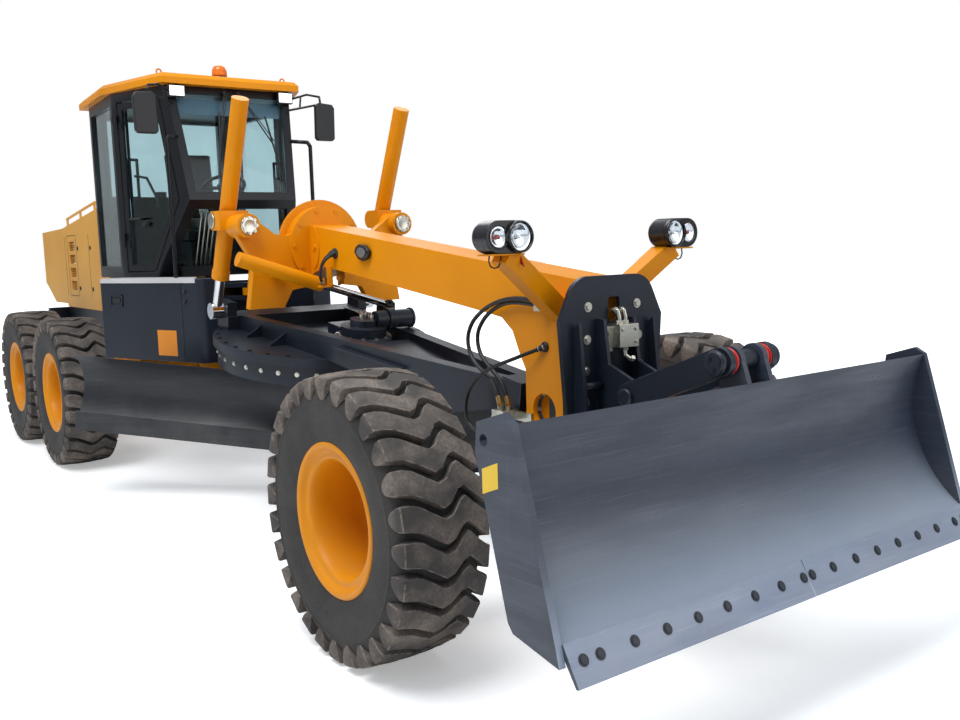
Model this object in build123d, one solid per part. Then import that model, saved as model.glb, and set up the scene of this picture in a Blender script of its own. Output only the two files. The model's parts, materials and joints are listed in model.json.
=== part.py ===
from build123d import *
from math import atan2, cos, degrees, hypot, pi, radians, sin, sqrt, tan
import os

# Motor grader: six wheels, articulated frame, drawbar with circle and blade, and a front dozer blade.
# Millimetres.  X points forward, Y to the machine's left, Z up from the ground.
# Every X below is measured from the front axle; ORIGIN_SHIFT moves the finished parts to the
# middle of the machine's length.

# ---- wheels and axles ----
TYRE_DIAMETER = 1348.0
TYRE_WIDTH = 445.0
TRACK = 2156.0
WHEELBASE = 6219.0
TANDEM_PITCH = 1538.0
BEAD_RADIUS = 317.0
RIM_FLANGE_RADIUS = 362.0
RIM_HALF_WIDTH = 190.0
RIM_WALL = 16.0
DISC_INSET = 146.0
DISC_THICKNESS = 20.0
HUB_RADIUS = 150.0
BARREL_RADIUS = 263.0
LUG_COUNT = 28
LUG_DEPTH = 42.0
LUG_SINK = 10.0
LUG_SHARE = 0.70
LUG_FOOT = 1.12
LUG_OUT = TYRE_WIDTH / 2 - 9
FIT = 0.3
PIN_FIT = 0.5
RUNNING_GAP = 5.0

WHEEL_Z = TYRE_DIAMETER / 2
WHEEL_Y = TRACK / 2
TANDEM_X = -WHEELBASE
MID_AXLE_X = TANDEM_X + TANDEM_PITCH / 2
REAR_AXLE_X = TANDEM_X - TANDEM_PITCH / 2
DISC_Y = WHEEL_Y - DISC_INSET
HUB_FACE_Y = DISC_Y - DISC_THICKNESS

# ---- overall reach ----
REAR_OVERHANG = 1492.0
FRONT_REACH = 1654.0
REAR_END_X = REAR_AXLE_X - REAR_OVERHANG
ORIGIN_SHIFT = -(REAR_END_X + FRONT_REACH) / 2

# ---- front frame ----
BEAM_HALF_WIDTH = 132.0
BEAM_FRONT_X = 437.0
BEAM_FRONT_Z = 1723.0
BEAM_SLOPE = 0.1233
BEAM_DEPTH = 272.0
BEAM_REAR_X = -2470.0
LEG_FRONT_X = 300.0
LEG_REAR_X = 12.0
LEG_BOTTOM_Z = 880.0
LEG_WALL = 30.0
LAMP_X = 325.0
LAMP_Y = 560.0
LAMP_Z = 1932.0
LAMP_WIDTH = 255.0
LAMP_HEIGHT = 148.0
LAMP_DEPTH = 125.0
LAMP_PITCH = 112.0
LENS_RADIUS = 50.0
LENS_WELL = 12.0
NECK_REAR_X = -3560.0
NECK_FRONT_X = -3420.0
PIVOT_X = -3740.0
PIVOT_PIN_RADIUS = 45.0
HITCH_LUG_HALF = 90.0
HITCH_LUG_THICKNESS = 60.0
HITCH_PLATE = 36.0
UPPER_HITCH_Z = 1570.0
LOWER_HITCH_Z = 1170.0

# ---- saddle and blade lift ----
SADDLE_X = -2470.0
SADDLE_PLATE = 70.0
SADDLE_Z = 1928.0
SADDLE_DRUM_RADIUS = 280.0
SADDLE_FLANGE_RADIUS = 325.0
SADDLE_FLANGE = 30.0
BOSS_Y = 604.0
BOSS_Z = 2072.0
BOSS_RADIUS = 82.0
BOSS_FRONT_X = -2328.0
TRUNNION_X = -2671.0
TRUNNION_Y = 622.0
TRUNNION_Z = 2116.0
TRUNNION_RADIUS = 34.0
YOKE_CHEEK = 36.0
LIFT_TUBE_RADIUS = 57.5
LIFT_BORE_RADIUS = 46.0
LIFT_ROD_RADIUS = 35.0
LIFT_TUBE_ABOVE = 870.0
LIFT_TUBE_BELOW = 435.0
LIFT_BALL_X = -2967.0
LIFT_BALL_Z = 1475.0
LIFT_ROD_ABOVE = 645.0
ROD_EYE_RADIUS = 60.0
SHIFT_PIVOT = (-2258.0, -400.0, 1745.0)
SHIFT_EYE = (-2235.0, 398.0, 1480.0)
SHIFT_AXIS = (0.9974, 0.0, -0.0720)
SHIFT_EYE_TURN = -20.7
SHIFT_EYE_RADIUS = 46.0
SHIFT_EYE_HALF = 33.0
SHIFT_EYE_GAP = 4.0
SHIFT_PLATE = 30.0
SHIFT_TUBE_RADIUS = 50.0
SHIFT_BORE_RADIUS = 40.0
SHIFT_ROD_RADIUS = 27.0
SHIFT_TUBE_BACK = 342.0
SHIFT_TUBE_FRONT = 290.0
SHIFT_ROD_INSIDE = 250.0
GLAND_LENGTH = 60.0

# ---- drawbar and circle: I runs forward, J left and K up from the middle of the circle's top plate ----
CIRCLE_X = -2520.0
CIRCLE_Z = 1279.0
CIRCLE_PITCH = 8.2
PLATE_RADIUS = 778.0
PLATE_THICKNESS = 60.0
RING_RADIUS = 745.0
RING_INNER_RADIUS = 560.0
RING_BOTTOM_K = -200.0
BALL_I = 2675.0
BALL_K = 159.0
BALL_RADIUS = 72.0
BALL_NECK_RADIUS = 50.0
CROSSBAR_I = -470.0
CROSSBAR_WIDTH = 200.0
CROSSBAR_TOP_K = 100.0
CROSSBAR_HALF = 575.0
DRAWBAR_LEG_WIDTH = 90.0
DRAWBAR_LEG_REAR_J = 448.0
DRAWBAR_LEG_FRONT_J = 50.0
DRAWBAR_LEG_FRONT_I = 2420.0
DRAWBAR_LEG_FRONT_TOP_K = 240.0
DRAWBAR_NOSE_K = 60.0
DRIVE_I = 600.0
DRIVE_RADIUS = 188.0
DRIVE_HEIGHT = 230.0
MOTOR_I = 640.0
MOTOR_K = 224.0
MOTOR_RADIUS = 62.0
MOTOR_REACH = 350.0

# ---- blade: U runs along it from right to left, N square to it towards its hollow face ----
BLADE_ANGLE = 44.75
BLADE_LENGTH = 3965.0
BLADE_EDGE_N = 23.0
BLADE_EDGE_K = -929.0
BLADE_TOP_N = 3.0
BLADE_TOP_K = -342.0
BLADE_SAG = 122.0
BLADE_THICKNESS = 22.0
EDGE_HEIGHT = 152.0
EDGE_THICKNESS = 16.0
BLADE_ARM_U = 420.0
BLADE_ARM_WIDTH = 50.0
RAIL_SIZE = 50.0
UPPER_RAIL_K = -520.0
LOWER_RAIL_K = -820.0
RAIL_N = -190.0
GUIDE_WALL = 26.0
SHIFT_RAM_K = -645.0
SHIFT_RAM_RADIUS = 48.0
SHIFT_RAM_BORE = 38.0
SHIFT_RAM_ROD = 25.0
SHIFT_RAM_U0 = -960.0
SHIFT_RAM_U1 = 520.0
SHIFT_RAM_LUG_U = 1210.0

# ---- front axle ----
LEAN_PIN_Y = 700.0
LEAN_PIN_Z = 600.0
LEAN_PIN_RADIUS = 35.0
LEAN_BAR_Z = 790.0
LEAN_FORK_HALF = 36.0
AXLE_PIN_Z = 645.0
AXLE_PIN_RADIUS = 45.0
KINGPIN_Y = 840.0
KINGPIN_RADIUS = 32.0
KINGPIN_ARM_RADIUS = 50.0
KNUCKLE_HALF_HEIGHT = 84.0
KINGPIN_ARM_HEIGHT = 42.0

# ---- front dozer ----
MOUNT_FACE_X = 523.0
MOUNT_PLATE = 25.0
MOUNT_TOP_Z = 1740.0
MOUNT_BOTTOM_Z = 560.0
LINK_REAR = (766.0, 1198.0)
LINK_FRONT = (1290.0, 1398.0)
ARM_REAR = (700.0, 640.0)
LINK_PIN_RADIUS = 34.0
LINK_EYE_RADIUS = 62.0
LINK_INNER_Y = 118.0
LINK_PLATE = 32.0
ARM_Y = 200.0
ARM_WIDTH = 76.0
ARM_EYE_RADIUS = 70.0
DOZER_HALF_WIDTH = 1262.0
DOZER_TOP = (1371.0, 1309.0)
DOZER_EDGE_TOP = (1569.0, 599.0)
DOZER_TIP_Z = 475.0
DOZER_SAG = 130.0
DOZER_BOARD = 14.0
DOZER_END_PLATE = 28.0

# ---- rear frame, bodywork and cab ----
RAIL_INNER_Y = 300.0
RAIL_OUTER_Y = 400.0
RAIL_BOTTOM_Z = 1080.0
RAIL_TOP_Z = 1380.0
RAIL_REAR_X = -8300.0
TANK_REAR_X = -4600.0
TANK_FRONT_X = -3440.0
TANK_REAR_Y = 1000.0
TANK_FRONT_Y = 560.0
TANK_BOTTOM_Z = 1038.0
DECK_Z = 1700.0
BUMPER_DEPTH = 100.0
BUMPER_HALF = 620.0
BUMPER_BOTTOM_Z = 1060.0
BUMPER_TOP_Z = 1300.0
HOOD_FRONT_X = -5762.0
HOOD_REAR_X = -7504.0
HOOD_HALF_WIDTH = 600.0
HOOD_FRONT_Z = 2394.0
HOOD_REAR_Z = 2206.0
HOOD_BOTTOM_Z = 1350.0
HOOD_WALL = 40.0
TAIL_TOP_Z = 2184.0
TAIL_BOTTOM_Z = 1600.0
TAIL_KNEE_X = -8050.0
HOOD_CREST_X = -6176.0
HOOD_CREST_Z = 2348.0
HAND_RAIL_REAR_X = -7420.0
HAND_RAIL_FRONT_X = -6260.0
HAND_RAIL_RISE = 90.0
LOUVRE_REAR_X = -7270.0
LOUVRE_FRONT_X = -7030.0
LOUVRE_HEIGHT = 95.0
LOUVRE_ROWS = (1540.0, 1680.0, 1820.0, 1960.0)
CAB_WALL = 60.0
CAB_FLOOR_Z = 1700.0
CAB_TOP_Z = 3250.0
CAB_NOSE = (-3819.0, 2325.0)
CAB_BROW_X = -4010.0
CAB_TOE_X = -4270.0
CAB_B_X = -4674.0
CAB_B_Y = 780.0
CAB_C_X = -5604.0
CAB_C_Y = 720.0
CAB_REAR_X = -5750.0
CAB_REAR_Y = 610.0
CAB_SIDE_SLOPE = 0.37
GLASS_INSET = 22.0
DOOR_REAR_STEP = 62.0
DOOR_GAP = 10.0
DOOR_FRAME = 55.0
DOOR_REACH = 150.0
HINGE_STAND = 15.0
HINGE_RADIUS = 12.0
HINGE_LENGTH = 60.0
HINGE_LEAF_TOP = 9.0
HINGE_HEIGHTS = (1960.0, 2940.0)
GLASS_THICKNESS = 8.0
ROOF_THICKNESS = 86.0


# ---- hoses beside the leg ----
HOSE_RADIUS = 11.0
LEG_HOSE_RADIUS = 10.0
UPPER_HOSE = (  # x, y, z from the fitting on the beam to the lower fitting
    (170, -176, 1618), (75, -176, 1625), (-21, -177, 1624), (-117, -178, 1611), (-209, -181, 1583),
    (-295, -185, 1542), (-371, -190, 1483), (-410, -196, 1397), (-378, -201, 1308), (-304, -205, 1248),
    (-215, -206, 1212), (-141, -207, 1152), (-112, -206, 1062),
)
LOWER_HOSE = (  # x, y, z, inside the upper one
    (170, -150, 1590), (73, -154, 1598), (-25, -156, 1603), (-122, -159, 1593), (-214, -162, 1559),
    (-295, -166, 1504), (-351, -171, 1425), (-335, -175, 1332), (-263, -178, 1266), (-178, -180, 1218),
    (-104, -180, 1154), (-78, -180, 1062),
)
LEG_HOSE = (  # x, y, z from the leg's grommet to the lower fitting
    (148, -152, 1372), (76, -186, 1343), (-1, -206, 1313), (-86, -221, 1284), (-171, -230, 1252),
    (-251, -236, 1209), (-321, -239, 1152), (-370, -241, 1080), (-385, -241, 996), (-350, -237, 922),
    (-272, -230, 900), (-200, -220, 942), (-152, -210, 1010),
)

def side_prism(points, y_low, y_high):
    """A profile of (x, z) points pulled along Y from y_low to y_high."""
    return extrude(Plane.XZ.offset(-y_high) * Polygon(*points, align=None), amount=y_high - y_low, dir=(0, -1, 0))


def plan_prism(points, z_low, z_high):
    """A plan of (x, y) points pulled up from z_low to z_high."""
    return extrude(Pos(0, 0, z_low) * Polygon(*points, align=None), amount=z_high - z_low, dir=(0, 0, 1))


def front_prism(points, x_low, x_high):
    """An outline of (y, z) points pulled forward from x_low to x_high."""
    return extrude(Plane.YZ.offset(x_low) * Polygon(*points, align=None), amount=x_high - x_low, dir=(1, 0, 0))


def block(x0, x1, y0, y1, z0, z1):
    """A box between two corners."""
    middle = Pos((x0 + x1) / 2, (y0 + y1) / 2, (z0 + z1) / 2)
    return middle * Box(x1 - x0, y1 - y0, z1 - z0)


def bar(start, end, radius, bore=0.0):
    """A round bar, or a tube where a bore is given, from start to end."""
    path = Vector(*end) - Vector(*start)
    plane = Plane(origin=start, z_dir=path)
    section = Circle(radius) - Circle(bore) if bore else Circle(radius)
    return extrude(plane * section, amount=path.length)


def cross_bar(x, z, radius, y_low, y_high):
    """A round bar along Y."""
    return bar((x, y_low, z), (x, y_high, z), radius)


def both_sides(piece):
    """The piece and its mirror image across the machine's middle."""
    return [piece, mirror(piece, about=Plane.XZ)]


def fused(pieces):
    """All the pieces as one solid."""
    first, *others = pieces
    return first.fuse(*others) if others else first


def apart(pieces):
    """Pieces that don't touch, kept as separate solids of one node."""
    return Compound(children=[solid for piece in pieces for solid in piece.solids()])


def strap(start, end, height, y_low, y_high):
    """A flat link along Y's planes with a round end on each (x, z) point."""
    length = hypot(end[0] - start[0], end[1] - start[1])
    turn = degrees(atan2(end[1] - start[1], end[0] - start[0]))
    outline = SlotCenterToCenter(length, height)
    middle = ((start[0] + end[0]) / 2, (start[1] + end[1]) / 2)
    plane = Plane.XZ.offset(-y_high)
    return extrude(plane * Pos(middle[0], middle[1]) * Rot(0, 0, turn) * outline, amount=y_high - y_low)


# ---------------------------------------------------------------- wheels

def tyre_section():
    """Half of the carcass's section as (radius, offset from its middle) points."""
    half = TYRE_WIDTH / 2
    crown = TYRE_DIAMETER / 2 - LUG_DEPTH
    return [
        (BEAD_RADIUS + FIT, RIM_HALF_WIDTH - 25),
        (RIM_FLANGE_RADIUS + 8, RIM_HALF_WIDTH - 18),
        (RIM_FLANGE_RADIUS + 50, half - 14),
        (crown * 0.80, half - 4),
        (crown * 0.90, half - 6),
        (crown * 0.98, half - 36),
        (crown, half - 90),
    ]


def faceted(rings):
    """Solid with flat three-sided faces between rings of four points each."""
    faces = [Face(Wire.make_polygon(ring)) for ring in (rings[0], rings[-1])]
    for first, second in zip(rings, rings[1:]):
        for k in range(4):
            after = (k + 1) % 4
            faces.append(Face(Wire.make_polygon([first[k], second[k], second[after]])))
            faces.append(Face(Wire.make_polygon([first[k], second[after], first[after]])))
    return Solid(Shell(faces))


def lug():
    """One zigzag lug of the left tyres, across the tread at the forward side."""
    stations = (  # share of the reach outward, drop below the tread's top, turn in pitches
        (1.0, 20.0, 0.0),
        (0.52, 3.0, 0.12),
        (0.04, 0.0, 0.57),
        (-0.49, 3.0, 0.03),
        (-1.0, 20.0, 0.62),
    )
    pitch = 2 * pi / LUG_COUNT
    half = LUG_SHARE * pitch / 2
    rings = []
    for share, drop, turn in stations:
        top = TYRE_DIAMETER / 2 - drop
        root = top - LUG_DEPTH - LUG_SINK
        middle = turn * pitch
        corners = ((root, middle - half * LUG_FOOT), (top, middle - half), (top, middle + half),
                   (root, middle + half * LUG_FOOT))
        rings.append([(r * cos(a), share * LUG_OUT, -r * sin(a)) for r, a in corners])
    return faceted(rings)


def tyre():
    """Left tyre on the origin: a closed rubber ring with its lugs."""
    half = tyre_section()
    outline = [(r, t) for r, t in half] + [(r, -t) for r, t in reversed(half)]
    ring = revolve(Plane.XY * Polygon(*outline, align=None), axis=Axis.Y)
    one = lug()
    return ring.fuse(*[one.rotate(Axis.Y, 360 * k / LUG_COUNT) for k in range(LUG_COUNT)])


def rim():
    """Left rim on the origin: a deep barrel with its disc near the inner side and a hub."""
    outline = [
        (BEAD_RADIUS - RIM_WALL, RIM_HALF_WIDTH - 24),
        (RIM_FLANGE_RADIUS - 38, RIM_HALF_WIDTH - 6),
        (RIM_FLANGE_RADIUS - 20, RIM_HALF_WIDTH + 5),
        (RIM_FLANGE_RADIUS - 6, RIM_HALF_WIDTH + 5),
        (RIM_FLANGE_RADIUS, RIM_HALF_WIDTH - 2),
        (RIM_FLANGE_RADIUS, RIM_HALF_WIDTH - 14),
        (BEAD_RADIUS, RIM_HALF_WIDTH - 24),
        (BEAD_RADIUS, -RIM_HALF_WIDTH + 24),
        (RIM_FLANGE_RADIUS, -RIM_HALF_WIDTH + 14),
        (RIM_FLANGE_RADIUS, -RIM_HALF_WIDTH),
        (BEAD_RADIUS - RIM_WALL, -RIM_HALF_WIDTH),
        (BEAD_RADIUS - RIM_WALL, -DISC_INSET - DISC_THICKNESS),
        (0, -DISC_INSET - DISC_THICKNESS),
        (0, -DISC_INSET + 70),
        (HUB_RADIUS * 0.62, -DISC_INSET + 70),
        (HUB_RADIUS * 0.75, -DISC_INSET + 30),
        (HUB_RADIUS, -DISC_INSET + 28),
        (HUB_RADIUS, -DISC_INSET + 7),
        (BARREL_RADIUS - 35, -DISC_INSET + 9),
        (BARREL_RADIUS - 5, -DISC_INSET + 36),
        (BARREL_RADIUS, RIM_HALF_WIDTH - 170),
        (BARREL_RADIUS + 5, RIM_HALF_WIDTH - 62),
        (BARREL_RADIUS + 17, RIM_HALF_WIDTH - 28),
    ]
    return revolve(Plane.XY * Polygon(*outline, align=None), axis=Axis.Y)


# ---------------------------------------------------------------- front frame

def beam_top(x):
    """Height of the beam's top face at x."""
    return BEAM_FRONT_Z - BEAM_SLOPE * (x - BEAM_FRONT_X)


def front_frame():
    """Box beam with its front leg, rear neck, hitch lugs and lamp arms."""
    rear_top = beam_top(BEAM_REAR_X)
    beam = side_prism([
        (NECK_REAR_X, UPPER_HITCH_Z + HITCH_LUG_THICKNESS / 2),
        (NECK_REAR_X + 60, 1760),
        (-3080, 1960),
        (BEAM_REAR_X, rear_top),
        (BEAM_FRONT_X, BEAM_FRONT_Z),
        (BEAM_FRONT_X, BEAM_FRONT_Z - 190),
        (LEG_FRONT_X, 1330),
        (LEG_FRONT_X, LEG_BOTTOM_Z),
        (LEG_REAR_X, LEG_BOTTOM_Z),
        (LEG_REAR_X, 1258),
        (-30, 1327),
        (-90, 1450),
        (-179, 1516),
        (-368, 1544),
        (-2169, 1780),
        (BEAM_REAR_X, 1700),
        (-3300, 1640),
        (NECK_FRONT_X + 20, 1560),
        (NECK_FRONT_X, 1500),
        (NECK_FRONT_X, LOWER_HITCH_Z - 70),
        (NECK_REAR_X, LOWER_HITCH_Z - 70),
    ], -BEAM_HALF_WIDTH, BEAM_HALF_WIDTH)
    socket_room = block(LEG_REAR_X - 1, LEG_FRONT_X - LEG_WALL, -BEAM_HALF_WIDTH + LEG_WALL,
                        BEAM_HALF_WIDTH - LEG_WALL, LEG_BOTTOM_Z - 1, 1230)
    window = cross_bar(156, 1055, 88, -BEAM_HALF_WIDTH - 1, BEAM_HALF_WIDTH + 1)
    body = beam - socket_room - window
    pieces = [body, axle_foot()]
    for z in (UPPER_HITCH_Z, LOWER_HITCH_Z):
        pieces.append(hitch_lug(z))
    pieces += both_sides(lamp_arm())
    return fused(pieces)


def hitch_lug(z):
    """One lug of the articulation hitch on the front frame, bored for its pin."""
    half = HITCH_LUG_THICKNESS / 2
    arm = block(PIVOT_X, NECK_REAR_X + 1, -HITCH_LUG_HALF, HITCH_LUG_HALF, z - half, z + half)
    nose = bar((PIVOT_X, 0, z - half), (PIVOT_X, 0, z + half), HITCH_LUG_HALF)
    bore = bar((PIVOT_X, 0, z - half - 1), (PIVOT_X, 0, z + half + 1), PIVOT_PIN_RADIUS + PIN_FIT)
    return arm + nose - bore


def axle_foot():
    """Foot below the leg: two hangers that hold the front axle's centre pin."""
    floor = block(-130, LEG_FRONT_X, -BEAM_HALF_WIDTH, BEAM_HALF_WIDTH, LEG_BOTTOM_Z - 50, LEG_BOTTOM_Z)
    gusset = side_prism([(-130, LEG_BOTTOM_Z), (LEG_REAR_X + 1, LEG_BOTTOM_Z), (LEG_REAR_X + 1, 1010)],
                        -BEAM_HALF_WIDTH, -BEAM_HALF_WIDTH + LEG_WALL)
    hanger_outline = [(-110, LEG_BOTTOM_Z - 40), (110, LEG_BOTTOM_Z - 40), (90, 580), (-90, 580)]
    rear = front_prism(hanger_outline, -130, -95)
    front = front_prism(hanger_outline, 95, 130)
    pin = bar((-140, 0, AXLE_PIN_Z), (140, 0, AXLE_PIN_Z), AXLE_PIN_RADIUS)
    return fused([floor, rear, front, pin] + both_sides(gusset))


def lamp_arm():
    """Square tube that carries a headlamp on the left."""
    start = Vector(300, BEAM_HALF_WIDTH - 10, 1545)
    end = Vector(385, 545, 1858)
    plane = Plane(origin=start, x_dir=(1, 0, 0), z_dir=end - start)
    return extrude(plane * Rectangle(95, 95), amount=(end - start).length) - headlamp_room(FIT)


def ball_socket():
    """Block in the leg that cups the drawbar's ball."""
    back_x = LEG_FRONT_X - LEG_WALL
    half = BEAM_HALF_WIDTH - LEG_WALL
    ball_x, ball_z = circle_point(BALL_I, BALL_K)
    cup = block(ball_x + 8, back_x, -half, half, ball_z - 110, ball_z + 110)
    room = bar((ball_x, 0, ball_z), (ball_x + BALL_RADIUS + FIT, 0, ball_z), BALL_RADIUS + FIT)
    return cup - room


def headlamp():
    """Twin lamp housing on the left arm, with a round lens well for each lamp."""
    case = fillet(headlamp_room(0).edges().group_by(Axis.X)[0], 30)
    front = LAMP_X + LAMP_DEPTH
    for y in (LAMP_Y - LAMP_PITCH / 2, LAMP_Y + LAMP_PITCH / 2):
        case = case - bar((front - LENS_WELL, y, LAMP_Z), (front + 1, y, LAMP_Z), LENS_RADIUS)
    return case


def headlamp_room(clearance):
    """The left lamp's outline, grown by a clearance."""
    section = SlotOverall(LAMP_WIDTH + 2 * clearance, LAMP_HEIGHT + 2 * clearance)
    return extrude(Plane.YZ.offset(LAMP_X - clearance) * Pos(LAMP_Y, LAMP_Z) * section,
                   amount=LAMP_DEPTH + 2 * clearance)


# ---------------------------------------------------------------- saddle and cylinders

def saddle():
    """Round saddle over the beam's rear with two arms, bosses and forks for the lift cylinders."""
    drum = bar((SADDLE_X, 0, SADDLE_Z), (BOSS_FRONT_X - 54, 0, SADDLE_Z), SADDLE_DRUM_RADIUS)
    flange = bar((SADDLE_X - SADDLE_FLANGE, 0, SADDLE_Z), (SADDLE_X, 0, SADDLE_Z), SADDLE_FLANGE_RADIUS)
    wing_outline = [
        (0, 2100), (200, 2060), (290, 2000), (386, 2013), (BOSS_Y - 50, BOSS_Z + 64), (BOSS_Y + 70, BOSS_Z - 42),
        (576, 1865), (560, 1760), (600, 1505), (344, 1501), (276, 1621), (0, 1660),
    ]
    wing = front_prism(wing_outline, SADDLE_X, SADDLE_X + SADDLE_PLATE)
    boss = bar((TRUNNION_X + 130, BOSS_Y, BOSS_Z), (BOSS_FRONT_X, BOSS_Y, BOSS_Z), BOSS_RADIUS)
    beam_room = side_prism([
        (-4000, 1400), (-2000, 1400), (-2000, beam_top(-2000)), (BEAM_REAR_X, beam_top(BEAM_REAR_X)),
        (-3080, 1960), (-4000, 1960),
    ], -BEAM_HALF_WIDTH, BEAM_HALF_WIDTH)
    body = fused([drum, flange] + both_sides(wing) + both_sides(boss) + both_sides(lift_fork()))
    return body + shift_boss() - beam_room


def lift_fork():
    """Fork behind the left boss that holds a lift cylinder's trunnions."""
    inner = LIFT_TUBE_RADIUS + 12
    bridge = block(TRUNNION_X + 106, TRUNNION_X + 136, TRUNNION_Y - inner - YOKE_CHEEK,
                   TRUNNION_Y + inner + YOKE_CHEEK, TRUNNION_Z - 66, TRUNNION_Z + 66)
    pieces = [bridge]
    for y in (TRUNNION_Y - inner - YOKE_CHEEK, TRUNNION_Y + inner):
        cheek = block(TRUNNION_X, TRUNNION_X + 110, y, y + YOKE_CHEEK, TRUNNION_Z - 66, TRUNNION_Z + 66)
        pieces.append(cheek + cross_bar(TRUNNION_X, TRUNNION_Z, 66, y, y + YOKE_CHEEK))
    bore = cross_bar(TRUNNION_X, TRUNNION_Z, TRUNNION_RADIUS + PIN_FIT, TRUNNION_Y - 200, TRUNNION_Y + 200)
    return fused(pieces) - bore


def shift_boss():
    """Stub on the saddle for the drawbar's side cylinder."""
    pivot = Vector(*SHIFT_PIVOT)
    axis = Vector(*SHIFT_AXIS).normalized()
    root = SHIFT_PIVOT[0] - (SADDLE_X + SADDLE_PLATE) + 20
    return bar(tuple(pivot - axis * root), tuple(pivot - axis * (SHIFT_TUBE_RADIUS + 12 + FIT)), 44)


def lift_axis():
    """Unit direction in XZ from a lift cylinder's trunnion up along its tube."""
    run = hypot(TRUNNION_X - LIFT_BALL_X, TRUNNION_Z - LIFT_BALL_Z)
    return (TRUNNION_X - LIFT_BALL_X) / run, (TRUNNION_Z - LIFT_BALL_Z) / run


def on_lift_axis(distance, y=TRUNNION_Y):
    """A point on the lift cylinder's line, at a distance above its trunnion."""
    ax, az = lift_axis()
    return (TRUNNION_X + ax * distance, y, TRUNNION_Z + az * distance)


def lift_tube():
    """Left lift cylinder's barrel with its gland and trunnions."""
    gland_bottom = on_lift_axis(-LIFT_TUBE_BELOW)
    gland_top = on_lift_axis(-LIFT_TUBE_BELOW + GLAND_LENGTH)
    barrel = bar(gland_top, on_lift_axis(LIFT_TUBE_ABOVE - 30), LIFT_TUBE_RADIUS, LIFT_BORE_RADIUS)
    gland = bar(gland_bottom, gland_top, LIFT_TUBE_RADIUS, LIFT_ROD_RADIUS + PIN_FIT)
    cap = bar(on_lift_axis(LIFT_TUBE_ABOVE - 30), on_lift_axis(LIFT_TUBE_ABOVE), LIFT_TUBE_RADIUS)
    reach = LIFT_TUBE_RADIUS + 12 + YOKE_CHEEK
    pins = [cross_bar(TRUNNION_X, TRUNNION_Z, TRUNNION_RADIUS, y, y + reach - LIFT_BORE_RADIUS - 2)
            for y in (TRUNNION_Y - reach, TRUNNION_Y + LIFT_BORE_RADIUS + 2)]
    return fused([barrel, gland, cap] + pins)


def lift_rod():
    """Left lift cylinder's rod with its lower eye beside the crossbar's end."""
    ball_distance = -hypot(TRUNNION_X - LIFT_BALL_X, TRUNNION_Z - LIFT_BALL_Z)
    rod = bar(on_lift_axis(ball_distance), on_lift_axis(LIFT_ROD_ABOVE), LIFT_ROD_RADIUS)
    eye = cross_bar(LIFT_BALL_X, LIFT_BALL_Z, ROD_EYE_RADIUS, CROSSBAR_HALF + FIT, TRUNNION_Y + 48)
    return rod + eye


def shift_line():
    """Unit direction of the side cylinder from its pivot to its rod's eye, and its length."""
    line = Vector(*SHIFT_EYE) - Vector(*SHIFT_PIVOT)
    return line.normalized(), line.length


def shift_tube():
    """Side cylinder's barrel with a flat-backed collar on its pivot."""
    pivot = Vector(*SHIFT_PIVOT)
    line, _ = shift_line()
    axis = Vector(*SHIFT_AXIS).normalized()
    back = pivot - line * SHIFT_TUBE_BACK
    front = pivot + line * SHIFT_TUBE_FRONT
    cap = bar(tuple(back), tuple(back + line * 30), SHIFT_TUBE_RADIUS)
    barrel = bar(tuple(back + line * 30), tuple(front - line * GLAND_LENGTH), SHIFT_TUBE_RADIUS, SHIFT_BORE_RADIUS)
    gland = bar(tuple(front - line * GLAND_LENGTH), tuple(front), SHIFT_TUBE_RADIUS, SHIFT_ROD_RADIUS + PIN_FIT)
    collar = bar(tuple(pivot - axis * (SHIFT_TUBE_RADIUS + 12)), tuple(pivot - axis * (SHIFT_BORE_RADIUS + 4)), 44)
    return fused([cap, barrel, gland, collar])


def shift_rod():
    """Side cylinder's rod with its eye above the drawbar's left leg."""
    pivot = Vector(*SHIFT_PIVOT)
    line, length = shift_line()
    rod = bar(tuple(pivot - line * SHIFT_ROD_INSIDE), tuple(pivot + line * (length - 20)), SHIFT_ROD_RADIUS)
    eye = shift_eye_place() * bar((-SHIFT_EYE_HALF, 0, 0), (SHIFT_EYE_HALF, 0, 0), SHIFT_EYE_RADIUS)
    return rod + eye


def shift_eye_place():
    """Location of the side cylinder's eye, its X along the eye's axis."""
    c, s = cos(radians(CIRCLE_PITCH)), sin(radians(CIRCLE_PITCH))
    dx, dz = SHIFT_EYE[0] - CIRCLE_X, SHIFT_EYE[2] - CIRCLE_Z
    return circle_place() * Location((dx * c - dz * s, SHIFT_EYE[1], dx * s + dz * c), (0, 0, SHIFT_EYE_TURN))


# ---------------------------------------------------------------- drawbar, circle and blade

def circle_place():
    """Location of the circle's own axes."""
    return Location((CIRCLE_X, 0, CIRCLE_Z), (0, CIRCLE_PITCH, 0))


def circle_point(i, k):
    """The (x, z) of a point given along the circle's own axes."""
    c, s = cos(radians(CIRCLE_PITCH)), sin(radians(CIRCLE_PITCH))
    return CIRCLE_X + i * c + k * s, CIRCLE_Z - i * s + k * c


def leg_section(i, j, bottom, top):
    """Rectangle across a drawbar leg at i."""
    plane = Plane(origin=(i, j, (bottom + top) / 2), x_dir=(0, 1, 0), z_dir=(1, 0, 0))
    return plane * Rectangle(DRAWBAR_LEG_WIDTH, top - bottom)


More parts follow.
